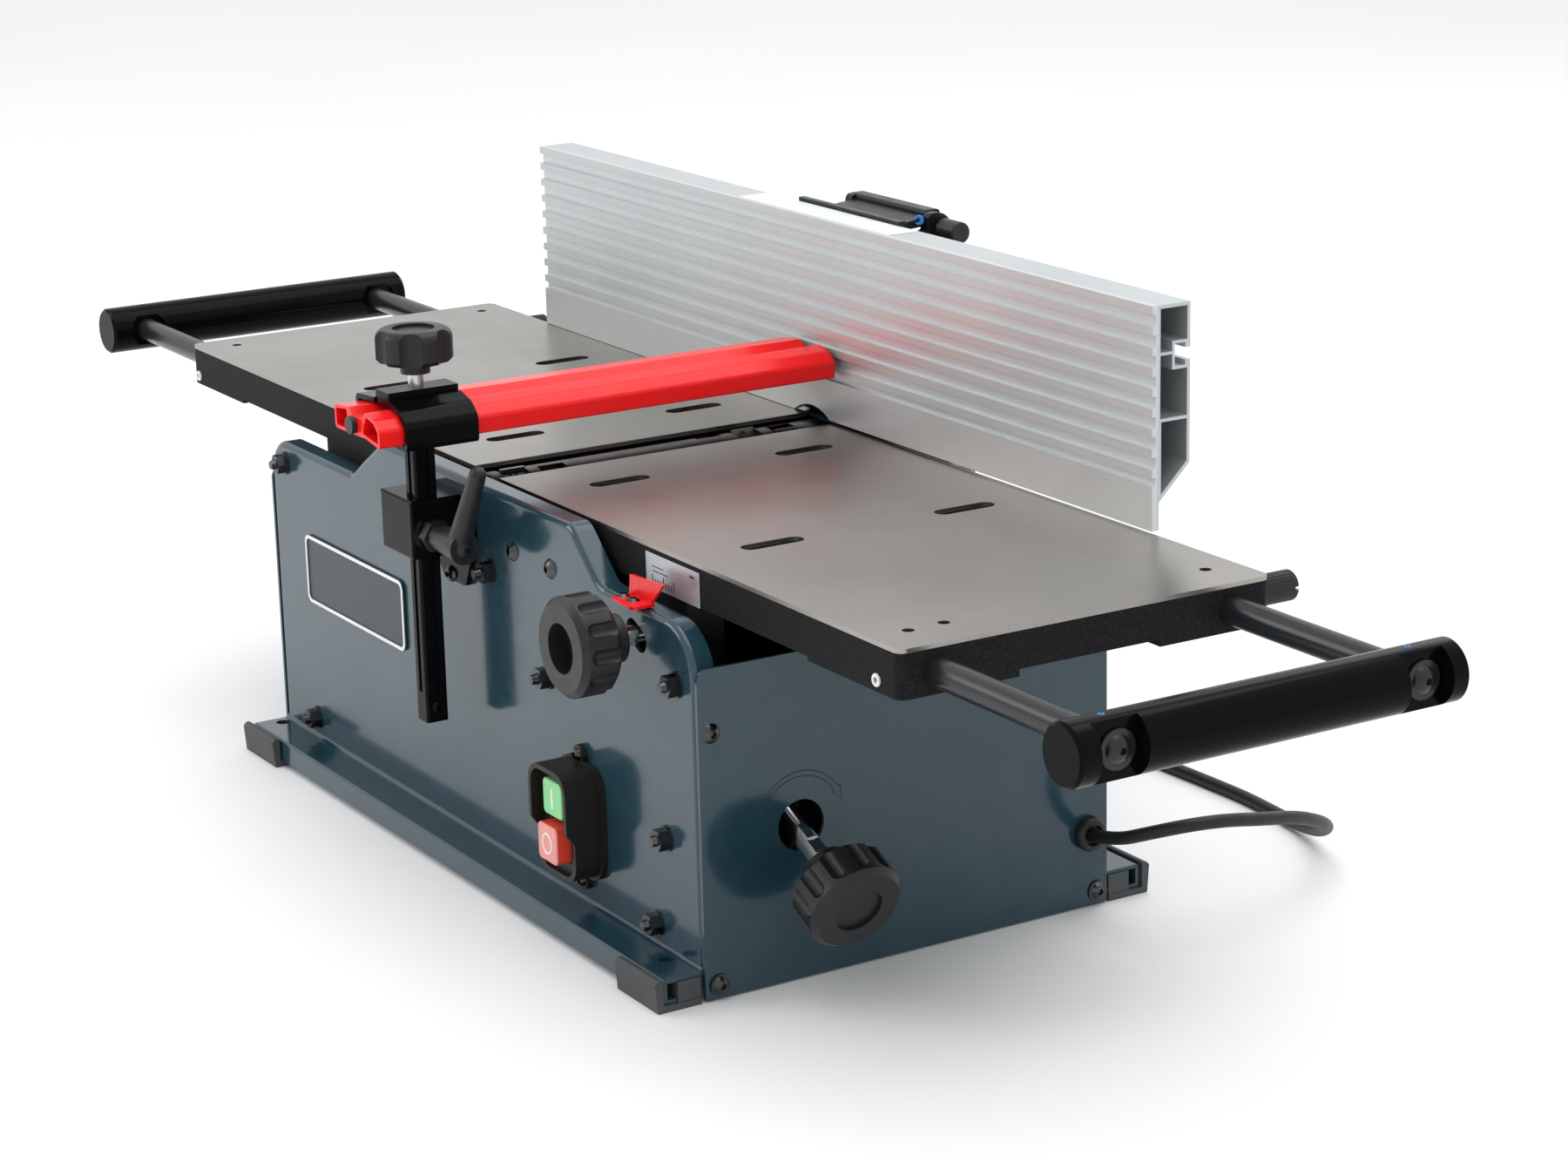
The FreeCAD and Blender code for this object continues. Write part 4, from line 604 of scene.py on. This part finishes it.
def bracket_set_screw():
    """Blue-locked set screw in the side of the fence bracket."""
    socket_screw("bracket_lock", at(35.2, 250.0, 322.2), (0.72, -0.62, 0.3), 0.0028, 0.0048,
                 LOOKS["thread_lock_blue"], "fence")


def insert_screws():
    """Countersunk screw in the face of each carbide insert of the cutterhead."""
    rows, per_row, pitch, twist = 2, 9, 22.0, 28.0
    first, last, centre = 14.0, 195.0, 189.2
    reach, face = 0.0202, 0.0024            # of an insert's face from the head's axis, metres
    bm = bmesh.new()
    for row in range(rows):
        for k in range(per_row):
            y = first + k * pitch + row * pitch / 2
            if y > last:
                continue
            turn = math.radians(180.0 * row + twist * k)
            axis = Vector((math.cos(turn), 0, -math.sin(turn)))
            out = Vector((math.sin(turn), 0, math.cos(turn)))
            base = at(0, y, centre) + out * reach + axis * face
            spin(bm, base, axis, [(0, 0.0025), (0.0005, 0.0024), (0.0005, 0.0012),
                                  (0.0001, 0.0010)], 16)
    piece("insert_screws", bm, LOOKS["head_steel"], "cutterhead")


def coil_tie():
    """Twist tie round the bundle of turns, at the side of the coil nearest the housing."""
    inner, outer, low, high = 29.2, 44.6, 0.02, 29.2
    half, thick, corner, steps = 3.5, 0.4, 3, 4
    bm = bmesh.new()
    outline = []
    for centre_r, centre_z, start in (
            (outer - corner, low + corner, -90), (outer - corner, high - corner, 0),
            (inner + corner, high - corner, 90), (inner + corner, low + corner, 180)):
        for k in range(steps + 1):
            turn = math.radians(start + 90 / steps * k)
            outline.append((centre_r + corner * math.cos(turn),
                            centre_z + corner * math.sin(turn)))
    middle = ((inner + outer) / 2, (low + high) / 2)
    loops = []
    for shrink in (0.0, thick):
        for x in (-half, half):
            loop = []
            for r, z in outline:
                near_r = r - shrink * (1 if r > middle[0] else -1)
                near_z = z - shrink * (1 if z > middle[1] else -1)
                loop.append(bm.verts.new(at(COIL_X + x, COIL_Y - near_r, near_z)))
            loops.append(loop)
    out0, out1, in0, in1 = loops
    count = len(outline)
    for i in range(count):
        j = (i + 1) % count
        bm.faces.new((out0[i], out0[j], out1[j], out1[i]))
        bm.faces.new((in0[i], in1[i], in1[j], in0[j]))
        bm.faces.new((out0[i], in0[i], in0[j], out0[j]))
        bm.faces.new((out1[i], out1[j], in1[j], in1[i]))
    piece("coil_tie", bm, LOOKS["tie_black"], "base")


for make in (depth_label, fence_label, fold_radii, turn_mark, button_marks, table_set_screws,
             bar_set_screws, bracket_set_screw, insert_screws, coil_tie):
    make()


# ---- studio ---------------------------------------------------------------------------
FLOOR_REACH = 12.0                       # metres from the middle to an edge
LIGHT_AIM = (0, 0, 0.12)
LIGHTS = (                               # name, place, width, height, watts
    ("top", (0.2, 0.3, 2.3), 2.4, 1.8, 24.0),
    ("front_left", (-1.5, -2.0, 1.5), 1.6, 1.2, 18.0),
    ("back", (-0.8, 2.2, 1.6), 1.8, 1.0, 8.0),
)


def make_studio():
    """Pale paper floor, even surroundings and three soft lights."""
    bm = bmesh.new()
    bmesh.ops.create_grid(bm, x_segments=2, y_segments=2, size=FLOOR_REACH)
    mesh = bpy.data.meshes.new("floor")
    bm.to_mesh(mesh)
    bm.free()
    g = Graph("floor_paper")
    paper = g.cloudy(g.noise(1.5, 3.0), (0.86, 0.86, 0.86, 1), (0.88, 0.88, 0.88, 1))
    g.set(Base_Color=paper, Roughness=g.ranged(g.noise(3.0), 0.6, 0.7))
    mesh.materials.append(g.material)
    floor = bpy.data.objects.new("floor", mesh)
    bpy.context.collection.objects.link(floor)
    world = bpy.data.worlds.new("world")
    world.use_nodes = True
    background = world.node_tree.nodes["Background"]
    background.inputs["Color"].default_value = (0.97, 0.985, 1.0, 1)
    background.inputs["Strength"].default_value = 1.0
    bpy.context.scene.world = world
    for name, place, width, height, power in LIGHTS:
        data = bpy.data.lights.new(name, "AREA")
        data.shape = "RECTANGLE"
        data.size, data.size_y, data.energy = width, height, power
        lamp = bpy.data.objects.new(name, data)
        lamp.location = place
        aim = Vector(LIGHT_AIM) - Vector(place)
        lamp.rotation_euler = aim.to_track_quat("-Z", "Y").to_euler()
        bpy.context.collection.objects.link(lamp)


make_studio()
